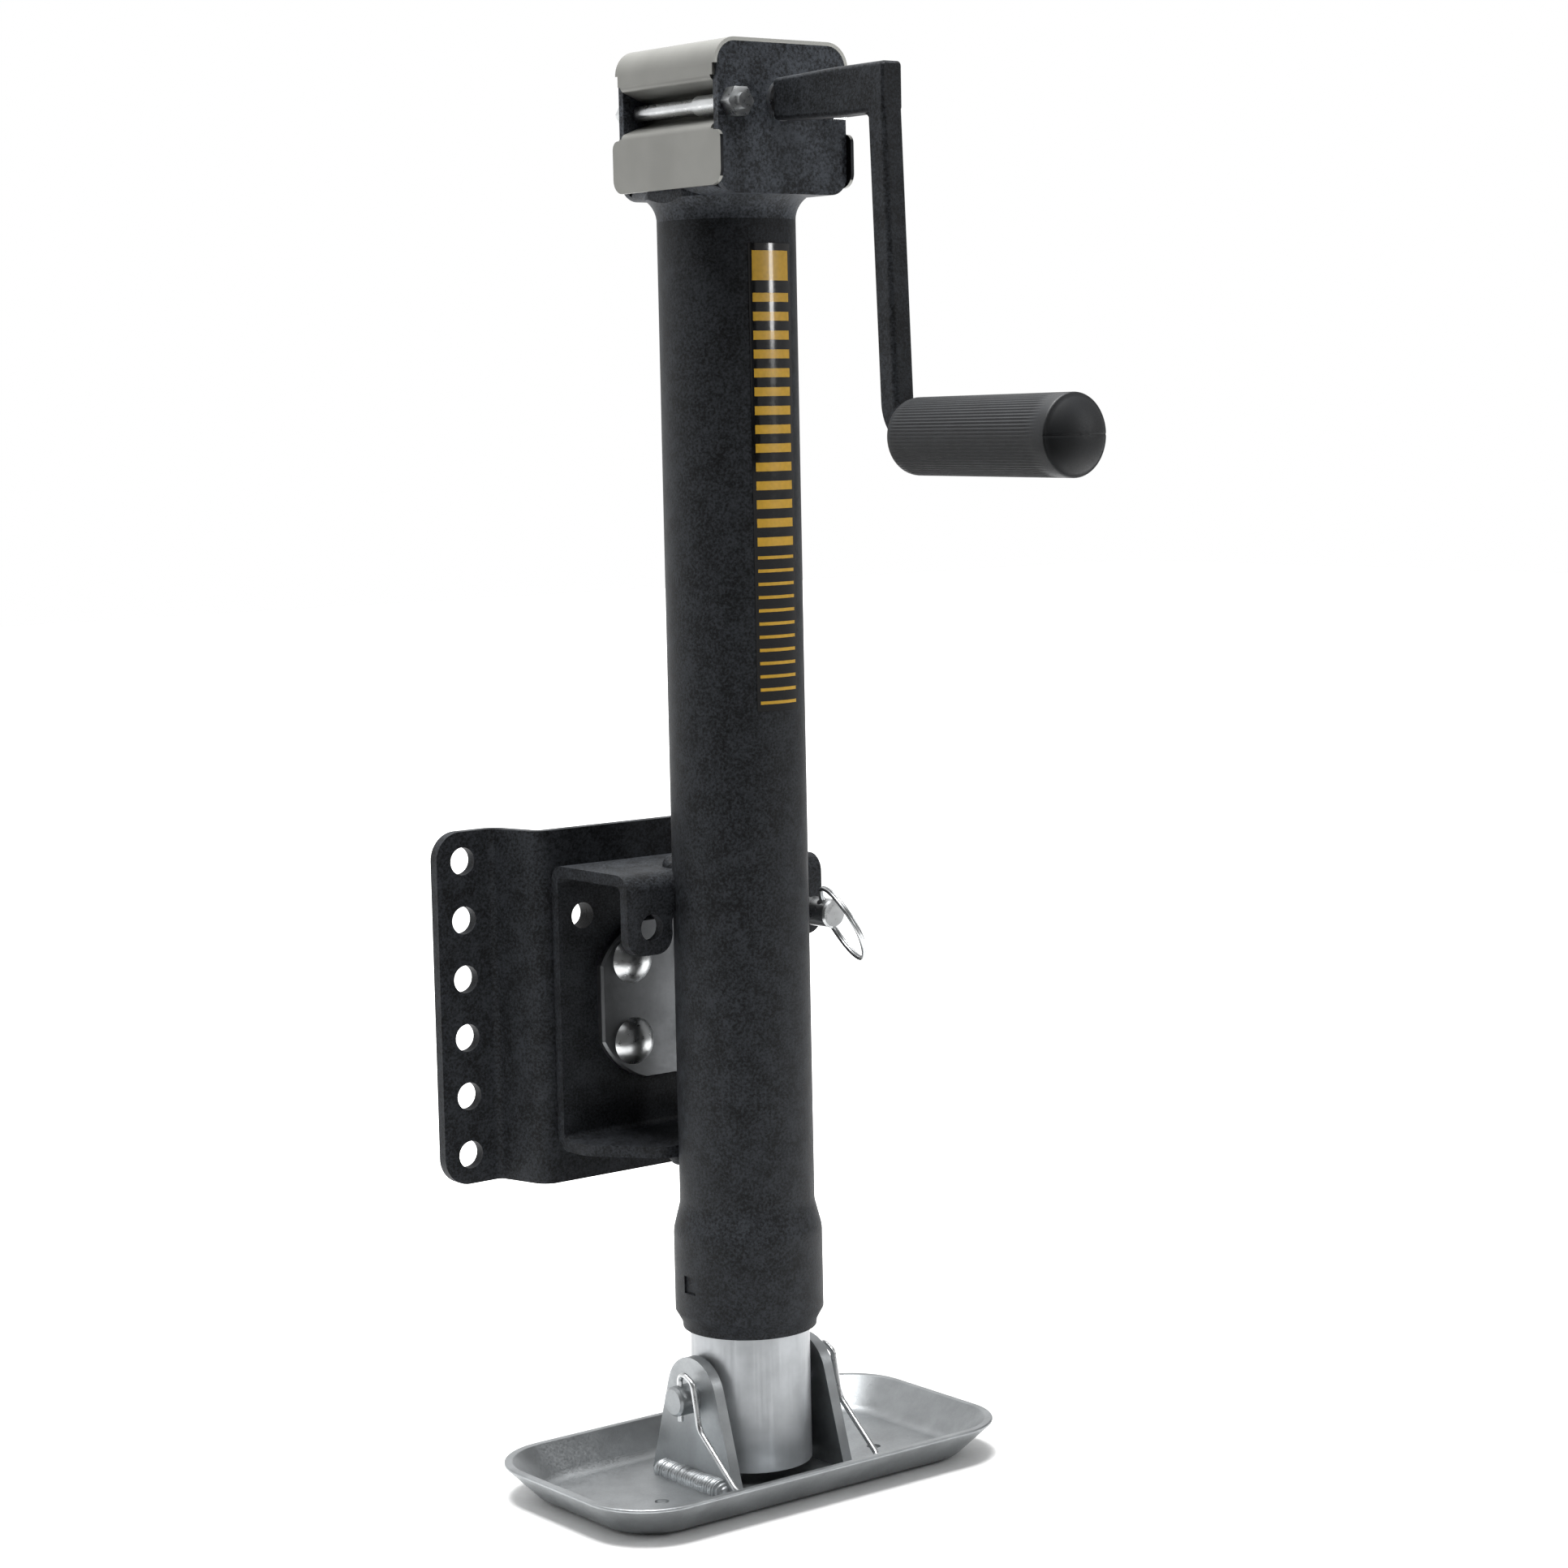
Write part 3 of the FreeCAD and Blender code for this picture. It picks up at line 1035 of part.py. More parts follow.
def lock_spring():
    """A closed-end compression spring between the front lip and the pin's washer."""
    start = CHANNEL_FRONT + STEEL_PLATE + SPRING_WIRE
    length = washer_front() - SPRING_WIRE - start
    radius = LOCK_PIN_RADIUS + SPRING_WIRE + 0.4
    helix = Part.makeHelix(length / SPRING_TURNS, length, radius)
    section = Part.Wire([Part.Circle(V(radius, 0, 0), V(0, 1, 0), SPRING_WIRE).toShape()])
    coil = Part.Wire(helix.Edges).makePipeShell([section], True, True)
    coil.rotate(V(0, 0, 0), X_AXIS, -90)
    coil.translate(V(LOCK_OFFSET, start, LOCK_Z))
    return coil


def ring_hole_axis():
    axis = V(0.491, 0, -0.871)
    axis.normalize()
    return axis


def ring_centre_direction():
    """From the pin's cross hole to the ring's centre, at a right angle to the hole."""
    aim = V(-0.263, -0.953, -0.147)
    hole = ring_hole_axis()
    aim = aim - hole * aim.dot(hole)
    aim.normalize()
    return aim


def pull_ring():
    """A split ring of two turns through the lock pin's cross hole."""
    hole = V(LOCK_OFFSET, LOCK_PIN_FRONT + LOCK_PIN_RING_INSET, LOCK_Z)
    centre = hole + ring_centre_direction() * (RING_RADIUS - RING_HOLE_CLEARANCE / 2)
    normal = ring_hole_axis().cross(ring_centre_direction())
    return Part.makeTorus(RING_RADIUS, RING_WIRE_RADIUS, centre, normal)


# ---------------------------------------------------------------- mounting bracket and swivel pivot
def mounting_bracket():
    t = STEEL_PLATE
    lean = WALL_SPREAD / HAT_DEPTH
    shift = t * math.hypot(1, lean)
    wall_front = CROWN_HALF_WIDTH + WALL_SPREAD
    back_low = CROWN_HALF_WIDTH - shift + lean * t
    back_high = wall_front - shift + lean * t
    tight = 3.2
    wide = tight + t
    right = [
        (CROWN_HALF_WIDTH, CROWN_FACE, wide), (wall_front, FLANGE_FACE, tight), (FLANGE_EDGE, FLANGE_FACE, 0),
        (FLANGE_EDGE, FLANGE_BACK, 0), (back_high, FLANGE_BACK, wide), (back_low, CROWN_BACK, tight),
    ]
    left = [(-x, y, r) for x, y, r in reversed(right)]
    low = SWIVEL_Z - BRACKET_HALF_HEIGHT
    bracket = prism(right + left, on_xy(low), V(0, 0, 2 * BRACKET_HALF_HEIGHT))
    corners = [e for e in bracket.Edges
               if e.BoundBox.XLength < 0.01 and e.BoundBox.ZLength < 0.01
               and abs(abs(e.BoundBox.XMin) - FLANGE_EDGE) < 0.01]
    bracket = bracket.makeFillet(FLANGE_CORNER, corners)
    first = SWIVEL_Z - BOLT_HOLE_PITCH * (BOLT_HOLE_COUNT - 1) / 2
    for side in (-1, 1):
        for index in range(BOLT_HOLE_COUNT):
            x = side * BOLT_HOLE_X
            z = first + BOLT_HOLE_PITCH * index
            bracket = bracket.cut(rod(BOLT_HOLE_RADIUS, V(x, FLANGE_FACE - 5, z), V(x, FLANGE_BACK + 5, z)))
        for rise in (-1, 1):
            x = side * LOCK_OFFSET
            z = SWIVEL_Z + rise * LOCK_OFFSET
            bracket = bracket.cut(rod(LOCK_HOLE_RADIUS, V(x, CROWN_FACE - 5, z), V(x, CROWN_BACK + 5, z)))
    for x, z in rivet_places():
        bracket = bracket.cut(rod(RIVET_RADIUS, V(x, CROWN_FACE - 5, z), V(x, CROWN_BACK + 5, z)))
    return bracket


def rivet_places():
    return [(side * RIVET_X, SWIVEL_Z + rise * RIVET_Z) for side in (-1, 1) for rise in (-1, 1)]


def swivel_spacer():
    spacer = rod(SPACER_RADIUS, V(0, DISC_BACK, SWIVEL_Z), V(0, CROWN_FACE, SWIVEL_Z))
    for x, z in rivet_places():
        spacer = spacer.cut(rod(RIVET_RADIUS, V(x, DISC_BACK - 1, z), V(x, CROWN_FACE + 1, z)))
    return spacer


def swivel_disc():
    """The retaining disc with four flats and a bevelled rim."""
    disc = rod(DISC_RADIUS, V(0, DISC_FACE, SWIVEL_Z), V(0, DISC_BACK, SWIVEL_Z))
    disc = disc.common(box(-DISC_FLAT_X, DISC_FLAT_X, DISC_FACE, DISC_BACK,
                           SWIVEL_Z - DISC_FLAT_Z, SWIVEL_Z + DISC_FLAT_Z))
    rim = [e for e in disc.Edges if e.BoundBox.YMax < DISC_FACE + 0.01]
    disc = disc.makeChamfer(DISC_BEVEL, rim)
    for x, z in rivet_places():
        disc = disc.cut(rod(RIVET_RADIUS, V(x, DISC_FACE - 1, z), V(x, DISC_BACK + 1, z)))
    return disc


def swivel_rivets():
    """Four domed rivets through the disc, the spacer and the crown."""
    rivets = []
    sphere = (RIVET_HEAD_RADIUS ** 2 + RIVET_HEAD_HEIGHT ** 2) / (2 * RIVET_HEAD_HEIGHT)
    for x, z in rivet_places():
        dome = Part.makeSphere(sphere, V(x, DISC_FACE - RIVET_HEAD_HEIGHT + sphere, z))
        dome = dome.common(rod(RIVET_HEAD_RADIUS, V(x, DISC_FACE - 20, z), V(x, DISC_FACE, z)))
        shank = rod(RIVET_RADIUS, V(x, DISC_FACE, z), V(x, CROWN_BACK, z))
        tail = rod(RIVET_TAIL_RADIUS, V(x, CROWN_BACK, z), V(x, CROWN_BACK + RIVET_TAIL_HEIGHT, z))
        rivets.append(dome.fuse(shank).fuse(tail))
    return Part.makeCompound(rivets)


# ---------------------------------------------------------------- label
def label_strip():
    top = TUBE_TOP - LABEL_TOP_BELOW_TUBE_TOP
    inner = TUBE_RADIUS
    outer = TUBE_RADIUS + LABEL_THICKNESS
    first = math.radians(-90 + LABEL_START)
    low = V(0, 0, top - LABEL_LENGTH)
    high = V(0, 0, top)
    side = V(math.cos(first), math.sin(first), 0)
    face = Part.Face(Part.makePolygon([
        side * inner + low, side * outer + low, side * outer + high, side * inner + high, side * inner + low]))
    return face.revolve(V(0, 0, 0), Z_AXIS, LABEL_END - LABEL_START)


NODES = {
    "mounting_bracket": mounting_bracket,
    "swivel_spacer": swivel_spacer,
    "swivel_disc": swivel_disc,
    "swivel_rivets": swivel_rivets,
    "outer_tube": outer_tube,
    "wear_bush": wear_bush,
    "gear_housing": gear_housing,
    "head_cover": head_cover,
    "cover_bolts": cover_bolts,
    "cover_nuts": cover_nuts,
    "bolt_sleeves": bolt_sleeves,
    "front_shaft_bush": lambda: shaft_bush(HOUSING_FRONT, -1),
    "rear_shaft_bush": lambda: shaft_bush(HOUSING_REAR, 1),
    "bearing_plate": bearing_plate,
    "upper_race": lambda: race(UPPER_RACE_BOTTOM),
    "bearing_balls": bearing_balls,
    "swivel_bracket": swivel_bracket,
    "tube_welds": tube_welds,
    "label_strip": label_strip,
    "crank_shaft": crank_shaft,
    "shaft_clip": shaft_clip,
    "drive_pinion": drive_pinion,
    "pinion_roll_pin": pinion_roll_pin,
    "crank_handle": crank_handle,
    "handle_grip": handle_grip,
    "lead_screw": lead_screw,
    "lower_race": lambda: race(SHOULDER_TOP),
    "screw_gear": screw_gear,
    "gear_roll_pin": gear_roll_pin,
    "inner_leg": inner_leg,
    "leg_nut": leg_nut,
    "foot_plate": foot_plate,
    "foot_ears": foot_ears,
    "ear_welds": ear_welds,
    "foot_pin": foot_pin,
    "pin_clip": pin_clip,
    "lock_pin": lock_pin,
    "lock_washer": lock_washer,
    "lock_cross_pin": lock_cross_pin,
    "lock_spring": lock_spring,
    "pull_ring": pull_ring,
}


def main():
    os.makedirs("parts", exist_ok=True)
    for name, make in NODES.items():
        shape = make()
        box_ = shape.BoundBox
        print("%-18s solids %2d valid %s vol %9.1f  z %.1f..%.1f" % (
            name, len(shape.Solids), shape.isValid(), shape.Volume, box_.ZMin, box_.ZMax))
        shape.exportStep("parts/%s.step" % name)


main()
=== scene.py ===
import json
import math
import random

import bmesh
import bpy
from bpy.props import FloatProperty, IntProperty, PointerProperty, StringProperty
from mathutils import Matrix, Vector


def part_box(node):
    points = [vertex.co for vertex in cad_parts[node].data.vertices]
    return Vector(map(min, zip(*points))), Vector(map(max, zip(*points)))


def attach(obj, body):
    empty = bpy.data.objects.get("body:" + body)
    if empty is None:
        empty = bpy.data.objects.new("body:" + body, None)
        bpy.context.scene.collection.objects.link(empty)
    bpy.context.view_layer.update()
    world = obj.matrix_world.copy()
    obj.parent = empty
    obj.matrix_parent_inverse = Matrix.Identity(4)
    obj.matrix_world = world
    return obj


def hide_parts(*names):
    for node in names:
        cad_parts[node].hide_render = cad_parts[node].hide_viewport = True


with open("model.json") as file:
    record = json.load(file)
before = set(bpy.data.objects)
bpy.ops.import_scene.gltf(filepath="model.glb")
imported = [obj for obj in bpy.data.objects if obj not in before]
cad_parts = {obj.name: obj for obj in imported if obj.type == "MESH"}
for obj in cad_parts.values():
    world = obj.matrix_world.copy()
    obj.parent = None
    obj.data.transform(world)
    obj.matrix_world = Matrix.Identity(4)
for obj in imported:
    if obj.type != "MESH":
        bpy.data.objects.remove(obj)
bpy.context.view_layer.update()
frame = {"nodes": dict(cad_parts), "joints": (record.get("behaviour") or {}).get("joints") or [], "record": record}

bl_info = {
    "name": "Trailer Tongue Jack Finish",
    "version": (1, 0, 0),
    "blender": (4, 5, 0),
    "location": "View3D > Sidebar > Jack",
    "description": "Finishes, detailed pieces and a studio stage for a side-wind trailer tongue jack",
    "category": "Object",
}

MM = 0.001
NODES = frame["nodes"]
NODE_BODY = {node: body for body, nodes in frame["record"]["behaviour"]["bodies"].items() for node in nodes}

X = Vector((1, 0, 0))
Y = Vector((0, 1, 0))
Z = Vector((0, 0, 1))

TUBE_RADIUS = 28.575 * MM
LABEL_FILM = 0.25 * MM      # thickness of the label strip
LABEL_INK = 0.06 * MM       # thickness of a printed bar
LABEL_MIDDLE = 2.0          # degrees from -Y towards +X
LABEL_HALF = 19.0           # degrees to either side of the middle
TUBE_WELD = (41, 139)       # degrees from +X, where the bracket's shelves meet the tube
PAPER_SIZE = 12.0           # metres


# ------------------------------------------------------------------ user settings
class JackFinish(bpy.types.PropertyGroup):
    coat: StringProperty(name="Powder coat", description="Colour of the textured powder coat",
                         default="#1D1F22")
    coat_grit: FloatProperty(name="Coat grain", description="Size of the powder coat's grains in mm",
                             default=1.1, min=0.1, max=3.0)
    cover: StringProperty(name="Head cover", description="Colour of the cover's silver enamel",
                          default="#82827E")
    zinc: StringProperty(name="Zinc", description="Colour of bright zinc plate", default="#C9CBCC")
    zinc_dull: StringProperty(name="Dull zinc", description="Colour of satin zinc plate on pressed sheet",
                              default="#9DA0A2")
    rubber: StringProperty(name="Grip rubber", description="Colour of the grip's rubber",
                           default="#15171A")
    film: StringProperty(name="Label film", description="Colour of the label's glossy film",
                         default="#0A0A0B")
    gold: StringProperty(name="Label ink", description="Colour of the label's printed bars",
                         default="#C69A26")


class JackDetail(bpy.types.PropertyGroup):
    rib_count: IntProperty(name="Grip ribs", description="Fine ribs round the grip", default=72, min=12)
    rib_height: FloatProperty(name="Rib height", description="Height of a grip rib in mm",
                              default=0.32, min=0.0, max=1.5)
    ring_wire: FloatProperty(name="Ring wire", description="Radius of the split ring's wire in mm",
                             default=0.85, min=0.3, max=2.0)
    weld_ripple: FloatProperty(name="Weld ripple", description="Length of one weld ripple in mm",
                               default=1.6, min=0.5, max=5.0)


class JackStage(bpy.types.PropertyGroup):
    azimuth: FloatProperty(name="Azimuth", description="Camera direction from +Y towards +X, in degrees",
                           default=38.03)
    elevation: FloatProperty(name="Elevation", description="How far the camera looks down, in degrees",
                             default=6.23)
    roll: FloatProperty(name="Roll", description="Camera roll in degrees", default=-1.16)
    distance: FloatProperty(name="Distance", description="From the aim point to the camera in mm",
                            default=1436.0)
    aim_height: FloatProperty(name="Aim height", description="Aim point above the floor in mm",
                              default=296.2)
    aim_side: FloatProperty(name="Aim side", default=19.1,
                            description="Aim point to the camera's right of the tube in mm")
    lens: FloatProperty(name="Lens", description="Focal length on a 36 mm sensor", default=78.83)


# ------------------------------------------------------------------ colour and node helpers
def linear(hex_colour):
    """An sRGB hex colour as a linear RGBA tuple."""
    channels = [int(hex_colour[i:i + 2], 16) / 255 for i in (1, 3, 5)]
    return tuple(c / 12.92 if c <= 0.04045 else ((c + 0.055) / 1.055) ** 2.4 for c in channels) + (1.0,)


def add_node(tree, kind, settings=None, links=None):
    """Adds a node, sets its sockets and attributes from settings, and links its inputs."""
    node = tree.nodes.new(kind)
    for name, value in (settings or {}).items():
        if isinstance(name, int) or name in node.inputs:
            node.inputs[name].default_value = value
        else:
            setattr(node, name, value)
    for name, source in (links or {}).items():
        tree.links.new(source, node.inputs[name])
    return node


def new_material(name, settings):
    """A material with one Principled shader; returns the material, its tree and the shader."""
    material = bpy.data.materials.new(name)
    material.use_nodes = True
    tree = material.node_tree
    shader = tree.nodes["Principled BSDF"]
    for socket, value in settings.items():
        shader.inputs[socket].default_value = value
    return material, tree, shader


def grain_scale(size_mm):
    """Noise scale, in cells per metre, for a pattern of that size."""
    return 1.0 / (size_mm * MM)


def two_tone(tree, pattern, low, high, start=0.35, end=0.65):
    """A colour that runs from low to high as the pattern rises from start to end."""
    ramp = add_node(tree, "ShaderNodeValToRGB", links={"Fac": pattern})
    ramp.color_ramp.elements[0].position = start
    ramp.color_ramp.elements[0].color = low
    ramp.color_ramp.elements[1].position = end
    ramp.color_ramp.elements[1].color = high
    return ramp.outputs["Color"]


def shade(hex_colour, factor):
    """A hex colour made darker or lighter by a factor, as linear RGBA."""
    r, g, b, a = linear(hex_colour)
    return (r * factor, g * factor, b * factor, a)


def place(tree):
    """Object coordinates, which are metres in the part's frame."""
    return add_node(tree, "ShaderNodeTexCoord").outputs["Object"]


def noise(tree, where, size_mm, detail=2.0, roughness=0.5):
    """A noise pattern whose cells are size_mm across."""
    node = add_node(tree, "ShaderNodeTexNoise",
                    {"Scale": grain_scale(size_mm), "Detail": detail, "Roughness": roughness},
                    {"Vector": where})
    return node.outputs["Fac"]


def stretched(tree, where, factors):
    """Coordinates scaled on each axis; a factor below one draws the pattern out along it."""
    return add_node(tree, "ShaderNodeVectorMath", {"operation": "MULTIPLY", 1: factors},
                    {0: where}).outputs["Vector"]


def bump(tree, shader, height, strength, distance_mm, under=None):
    """Relief of a pattern, over another relief if under is given."""
    node = add_node(tree, "ShaderNodeBump", {"Strength": strength, "Distance": distance_mm * MM},
                    {"Height": height})
    if under is not None:
        tree.links.new(under, node.inputs["Normal"])
    tree.links.new(node.outputs["Normal"], shader.inputs["Normal"])
    return node.outputs["Normal"]


def remap(tree, value, low, high, start=0.3, end=0.7):
    """A value that runs from low to high as the pattern runs from start to end."""
    return add_node(tree, "ShaderNodeMapRange",
                    {"From Min": start, "From Max": end, "To Min": low, "To Max": high},
                    {"Value": value}).outputs["Result"]


# ------------------------------------------------------------------ materials
def powder_coat(name, finish, painted_light_gain=1.0):
    """Polyester powder coat, baked with a fine sand texture: a dull black mottled with grey.

    A real grain is about 0.3 mm across, too fine to show, so it is drawn at coat_grit. A gain above one lightens
    the whole coat as painted light.
    """
    material, tree, shader = new_material(name, {"IOR": 1.5, "Specular IOR Level": 0.2})
    where = place(tree)
    grain = noise(tree, where, finish.coat_grit, detail=3.0, roughness=0.7)
    cloud = noise(tree, where, size_mm=9.0, detail=3.0, roughness=0.6)
    mixed = add_node(tree, "ShaderNodeMath", {"operation": "MULTIPLY_ADD", 1: 0.4}, {0: cloud, 2: grain})
    dark, light = shade(finish.coat, 0.3 * painted_light_gain), shade(finish.coat, 2.4 * painted_light_gain)
    colour = two_tone(tree, mixed.outputs["Value"], dark, light, start=0.57, end=0.84)
    tree.links.new(colour, shader.inputs["Base Color"])
    tree.links.new(remap(tree, grain, 0.50, 0.72), shader.inputs["Roughness"])
    pebble = noise(tree, where, finish.coat_grit * 0.5)
    coarse = bump(tree, shader, grain, strength=0.8, distance_mm=0.22)
    bump(tree, shader, pebble, strength=0.5, distance_mm=0.10, under=coarse)
    return material


def silver_enamel(finish):
    """Silver stoving enamel on pressed sheet: a satin metallic grey, nearly even."""
    material, tree, shader = new_material("grey_cover", {"Metallic": 0.55, "Specular IOR Level": 0.5})
    where = place(tree)
    flake = noise(tree, where, size_mm=0.5, roughness=0.6)
    cloud = noise(tree, where, size_mm=22.0)
    colour = two_tone(tree, cloud, shade(finish.cover, 0.93), shade(finish.cover, 1.05))
    tree.links.new(colour, shader.inputs["Base Color"])
    tree.links.new(remap(tree, flake, 0.36, 0.44), shader.inputs["Roughness"])
    bump(tree, shader, flake, strength=0.08, distance_mm=0.03)
    return material


def zinc_plate(name, hex_colour, roughness, streak=(1, 1, 1), streak_mm=0.6, metallic=1.0, depth=0.05,
               strength=0.18):
    """Electroplated zinc over drawn or pressed steel: cool bright grey, with drawing marks along streak."""
    material, tree, shader = new_material(name, {"Metallic": metallic})
    where = place(tree)
    marks = noise(tree, stretched(tree, where, streak), streak_mm, detail=3.0, roughness=0.6)
    cloud = noise(tree, where, size_mm=14.0, detail=3.0, roughness=0.55)
    colour = two_tone(tree, cloud, shade(hex_colour, 0.88), shade(hex_colour, 1.08))
    tree.links.new(colour, shader.inputs["Base Color"])
    tree.links.new(remap(tree, marks, roughness - 0.06, roughness + 0.09), shader.inputs["Roughness"])
    if strength:
        bump(tree, shader, marks, strength, depth)
    return material


def moulded_rubber(finish):
    """Moulded nitrile rubber: matt black with a faint grey bloom."""
    material, tree, shader = new_material("black_rubber", {"IOR": 1.5, "Specular IOR Level": 0.4})
    where = place(tree)
    grain = noise(tree, where, size_mm=0.5, detail=3.0, roughness=0.6)
    bloom = noise(tree, where, size_mm=9.0, detail=3.0, roughness=0.6)
    colour = two_tone(tree, bloom, shade(finish.rubber, 0.85), shade(finish.rubber, 1.35))
    tree.links.new(colour, shader.inputs["Base Color"])
    tree.links.new(remap(tree, grain, 0.50, 0.64), shader.inputs["Roughness"])
    bump(tree, shader, grain, strength=0.25, distance_mm=0.05)
    return material


def gloss_film(name, hex_colour, roughness):
    """Printed polyester film under a clear gloss layer."""
    material, tree, shader = new_material(name, {"Coat Weight": 0.6, "Coat Roughness": 0.08})
    where = place(tree)
    orange_peel = noise(tree, where, size_mm=1.8)
    colour = two_tone(tree, orange_peel, shade(hex_colour, 0.93), shade(hex_colour, 1.06))
    tree.links.new(colour, shader.inputs["Base Color"])
    tree.links.new(remap(tree, orange_peel, roughness - 0.04, roughness + 0.05), shader.inputs["Roughness"])
    bump(tree, shader, orange_peel, strength=0.04, distance_mm=0.02)
    return material


def plain_metal(name, hex_colour, roughness, grain_mm):
    """Turned or ground steel under a film of oil or grease: dark, with fine tool marks."""
    material, tree, shader = new_material(name, {"Metallic": 1.0})
    where = place(tree)
    marks = noise(tree, where, grain_mm, detail=3.0, roughness=0.6)
    colour = two_tone(tree, marks, shade(hex_colour, 0.8), shade(hex_colour, 1.15))
    tree.links.new(colour, shader.inputs["Base Color"])
    tree.links.new(remap(tree, marks, roughness - 0.07, roughness + 0.08), shader.inputs["Roughness"])
    bump(tree, shader, marks, strength=0.2, distance_mm=0.04)
    return material


def bush_nylon():
    """Natural nylon bush: a waxy off-white."""
    material, tree, shader = new_material("bush_plastic", {"IOR": 1.53, "Specular IOR Level": 0.5})
    where = place(tree)
    cloud = noise(tree, where, size_mm=5.0)
    tree.links.new(two_tone(tree, cloud, linear("#C9C4B4"), linear("#DAD6C8")), shader.inputs["Base Color"])
    tree.links.new(remap(tree, cloud, 0.40, 0.50), shader.inputs["Roughness"])
    return material


def studio_floor():
    """Seamless white paper: matt, with a faint tooth, lit from behind away from the jack."""
    material, tree, shader = new_material("studio_paper", {"Specular IOR Level": 0.2})
    where = place(tree)
    tooth = noise(tree, where, size_mm=2.5, detail=3.0)
    tree.links.new(two_tone(tree, tooth, linear("#F4F4F3"), linear("#F8F8F8")), shader.inputs["Base Color"])
    tree.links.new(remap(tree, tooth, 0.82, 0.92), shader.inputs["Roughness"])
    distance = add_node(tree, "ShaderNodeVectorMath", {"operation": "LENGTH"}, {0: where})
    glow = remap(tree, distance.outputs["Value"], 0.0, 1.0, start=0.16, end=0.55)
    shader.inputs["Emission Color"].default_value = (1.0, 1.0, 1.0, 1.0)
    tree.links.new(glow, shader.inputs["Emission Strength"])
    return material


MATERIALS = {}


def make_materials(finish):
    """Makes every finish once, by the short name that the pieces use."""
    tall = (1.0, 1.0, 0.03)
    MATERIALS.update({
        "coat": powder_coat("black_powder_coat", finish),
        # a lit copy of the black coat: the same coat lightened 2.6 times, as painted light
        "lit_head_coat": powder_coat("lit_black_powder_coat", finish, painted_light_gain=2.6),
        "cover": silver_enamel(finish),
        # the cover's inside faces are coloured a dark grey, darker than its outside
        "cover_inside": plain_metal("cover_dark_inside", "#2C2D2F", 0.5, 0.8),
        "tube_zinc": zinc_plate("zinc_tube", "#A9ACAF", 0.36, streak=tall, streak_mm=1.2,
                                metallic=0.6, depth=0.03, strength=0.4),
        # a darker copy of the plated zinc for the swivel disc: painted shade
        "shaded_pivot_zinc": zinc_plate("shaded_pivot_zinc", "#77797B", 0.42, streak_mm=1.1),
        "sheet_zinc": zinc_plate("zinc_plate", finish.zinc_dull, 0.42, streak_mm=1.1),
        "bright_zinc": zinc_plate("bright_zinc", finish.zinc, 0.30, streak_mm=3.0, strength=0),
        "rubber": moulded_rubber(finish),
        "film": gloss_film("label_film", finish.film, 0.16),
        "ink": gloss_film("label_ink", finish.gold, 0.34),
        "dark_steel": plain_metal("dark_steel", "#6E6E70", 0.38, 0.5),
        "bearing_steel": plain_metal("bearing_steel", "#B4B4B6", 0.18, 0.8),
        "gear_iron": plain_metal("gear_iron", "#58585A", 0.42, 0.9),
        "nylon": bush_nylon(),
    })


def dress(material, *nodes):
    """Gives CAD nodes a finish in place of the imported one."""
    for name in nodes:
        slots = NODES[name].data.materials
        for index in range(len(slots)):
            slots[index] = MATERIALS[material]


# ------------------------------------------------------------------ mesh helpers
def finish_piece(name, bm, material, node, replaces=True, angle=40):
    """Turns a bmesh into a shown piece that rides on its node's body."""
    bmesh.ops.remove_doubles(bm, verts=bm.verts, dist=1e-7)
    bmesh.ops.recalc_face_normals(bm, faces=bm.faces)
    mesh = bpy.data.meshes.new(name)
    bm.to_mesh(mesh)
    bm.free()
    mesh.materials.append(MATERIALS[material])
    mesh.shade_smooth()
    mesh.set_sharp_from_angle(angle=math.radians(angle))
    piece = bpy.data.objects.new(name, mesh)
    bpy.context.scene.collection.objects.link(piece)
    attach(piece, NODE_BODY[node])
    if replaces:
        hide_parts(node)
    return piece


def skin(bm, rings, closed_ring=True, closed_run=False, cap=True):
    """Faces between rings of points; each ring has the same number of points."""
    rows = [[bm.verts.new(p) for p in ring] for ring in rings]
    count = len(rows[0])
    last = count if closed_ring else count - 1
    runs = len(rows) if closed_run else len(rows) - 1
    for i in range(runs):
        a, b = rows[i], rows[(i + 1) % len(rows)]
        for j in range(last):
            k = (j + 1) % count
            bm.faces.new((a[j], a[k], b[k], b[j]))
    if cap and not closed_run:
        bm.faces.new(rows[0])
        bm.faces.new(rows[-1])
    return rows


def tube_rings(points, radius, sides, closed=False, end_scale=1.0):
    """Rings of a round wire along points, turned as little as possible from one to the next."""
    rings = []
    count = len(points)
    side = None
    for i, point in enumerate(points):
        before = points[i - 1] if (i or closed) else point
        after = points[(i + 1) % count] if (i < count - 1 or closed) else point
        along = (after - before).normalized()
        if side is None:
            side = along.orthogonal().normalized()
        side = (side - along * side.dot(along)).normalized()
        other = along.cross(side)
        r = radius * (end_scale if not closed and i in (0, count - 1) else 1.0)
        rings.append([point + (side * math.cos(t) + other * math.sin(t)) * r
                      for t in (2 * math.pi * k / sides for k in range(sides))])
    return rings


# ------------------------------------------------------------------ grip
def grip_profile(length, near, far, rows=44):
    """(height from the near end, radius) along the outside of the grip."""
    edge = 6.0 * MM
    dome = 5.5 * MM
    brow = 0.9 * MM
    points = []
    for k in range(9):
        t = math.pi / 2 * k / 8
        points.append((edge * (1 - math.cos(t)), near - edge * (1 - math.sin(t))))
    start, stop = edge, length - dome - brow
    for k in range(1, rows):
        share = k / (rows - 1)
        points.append((start + (stop - start) * share, near + (far - near) * share))
    rim = far - brow
    for k in range(1, 7):
        t = math.pi / 2 * k / 6
        points.append((stop + brow * math.sin(t), far - brow * (1 - math.cos(t))))
    bulge = (rim ** 2 + dome ** 2) / (2 * dome)
    for k in range(1, 14):
        r = rim * (1 - k / 14)
        points.append((length - bulge + math.sqrt(bulge ** 2 - r ** 2), r))
    return points


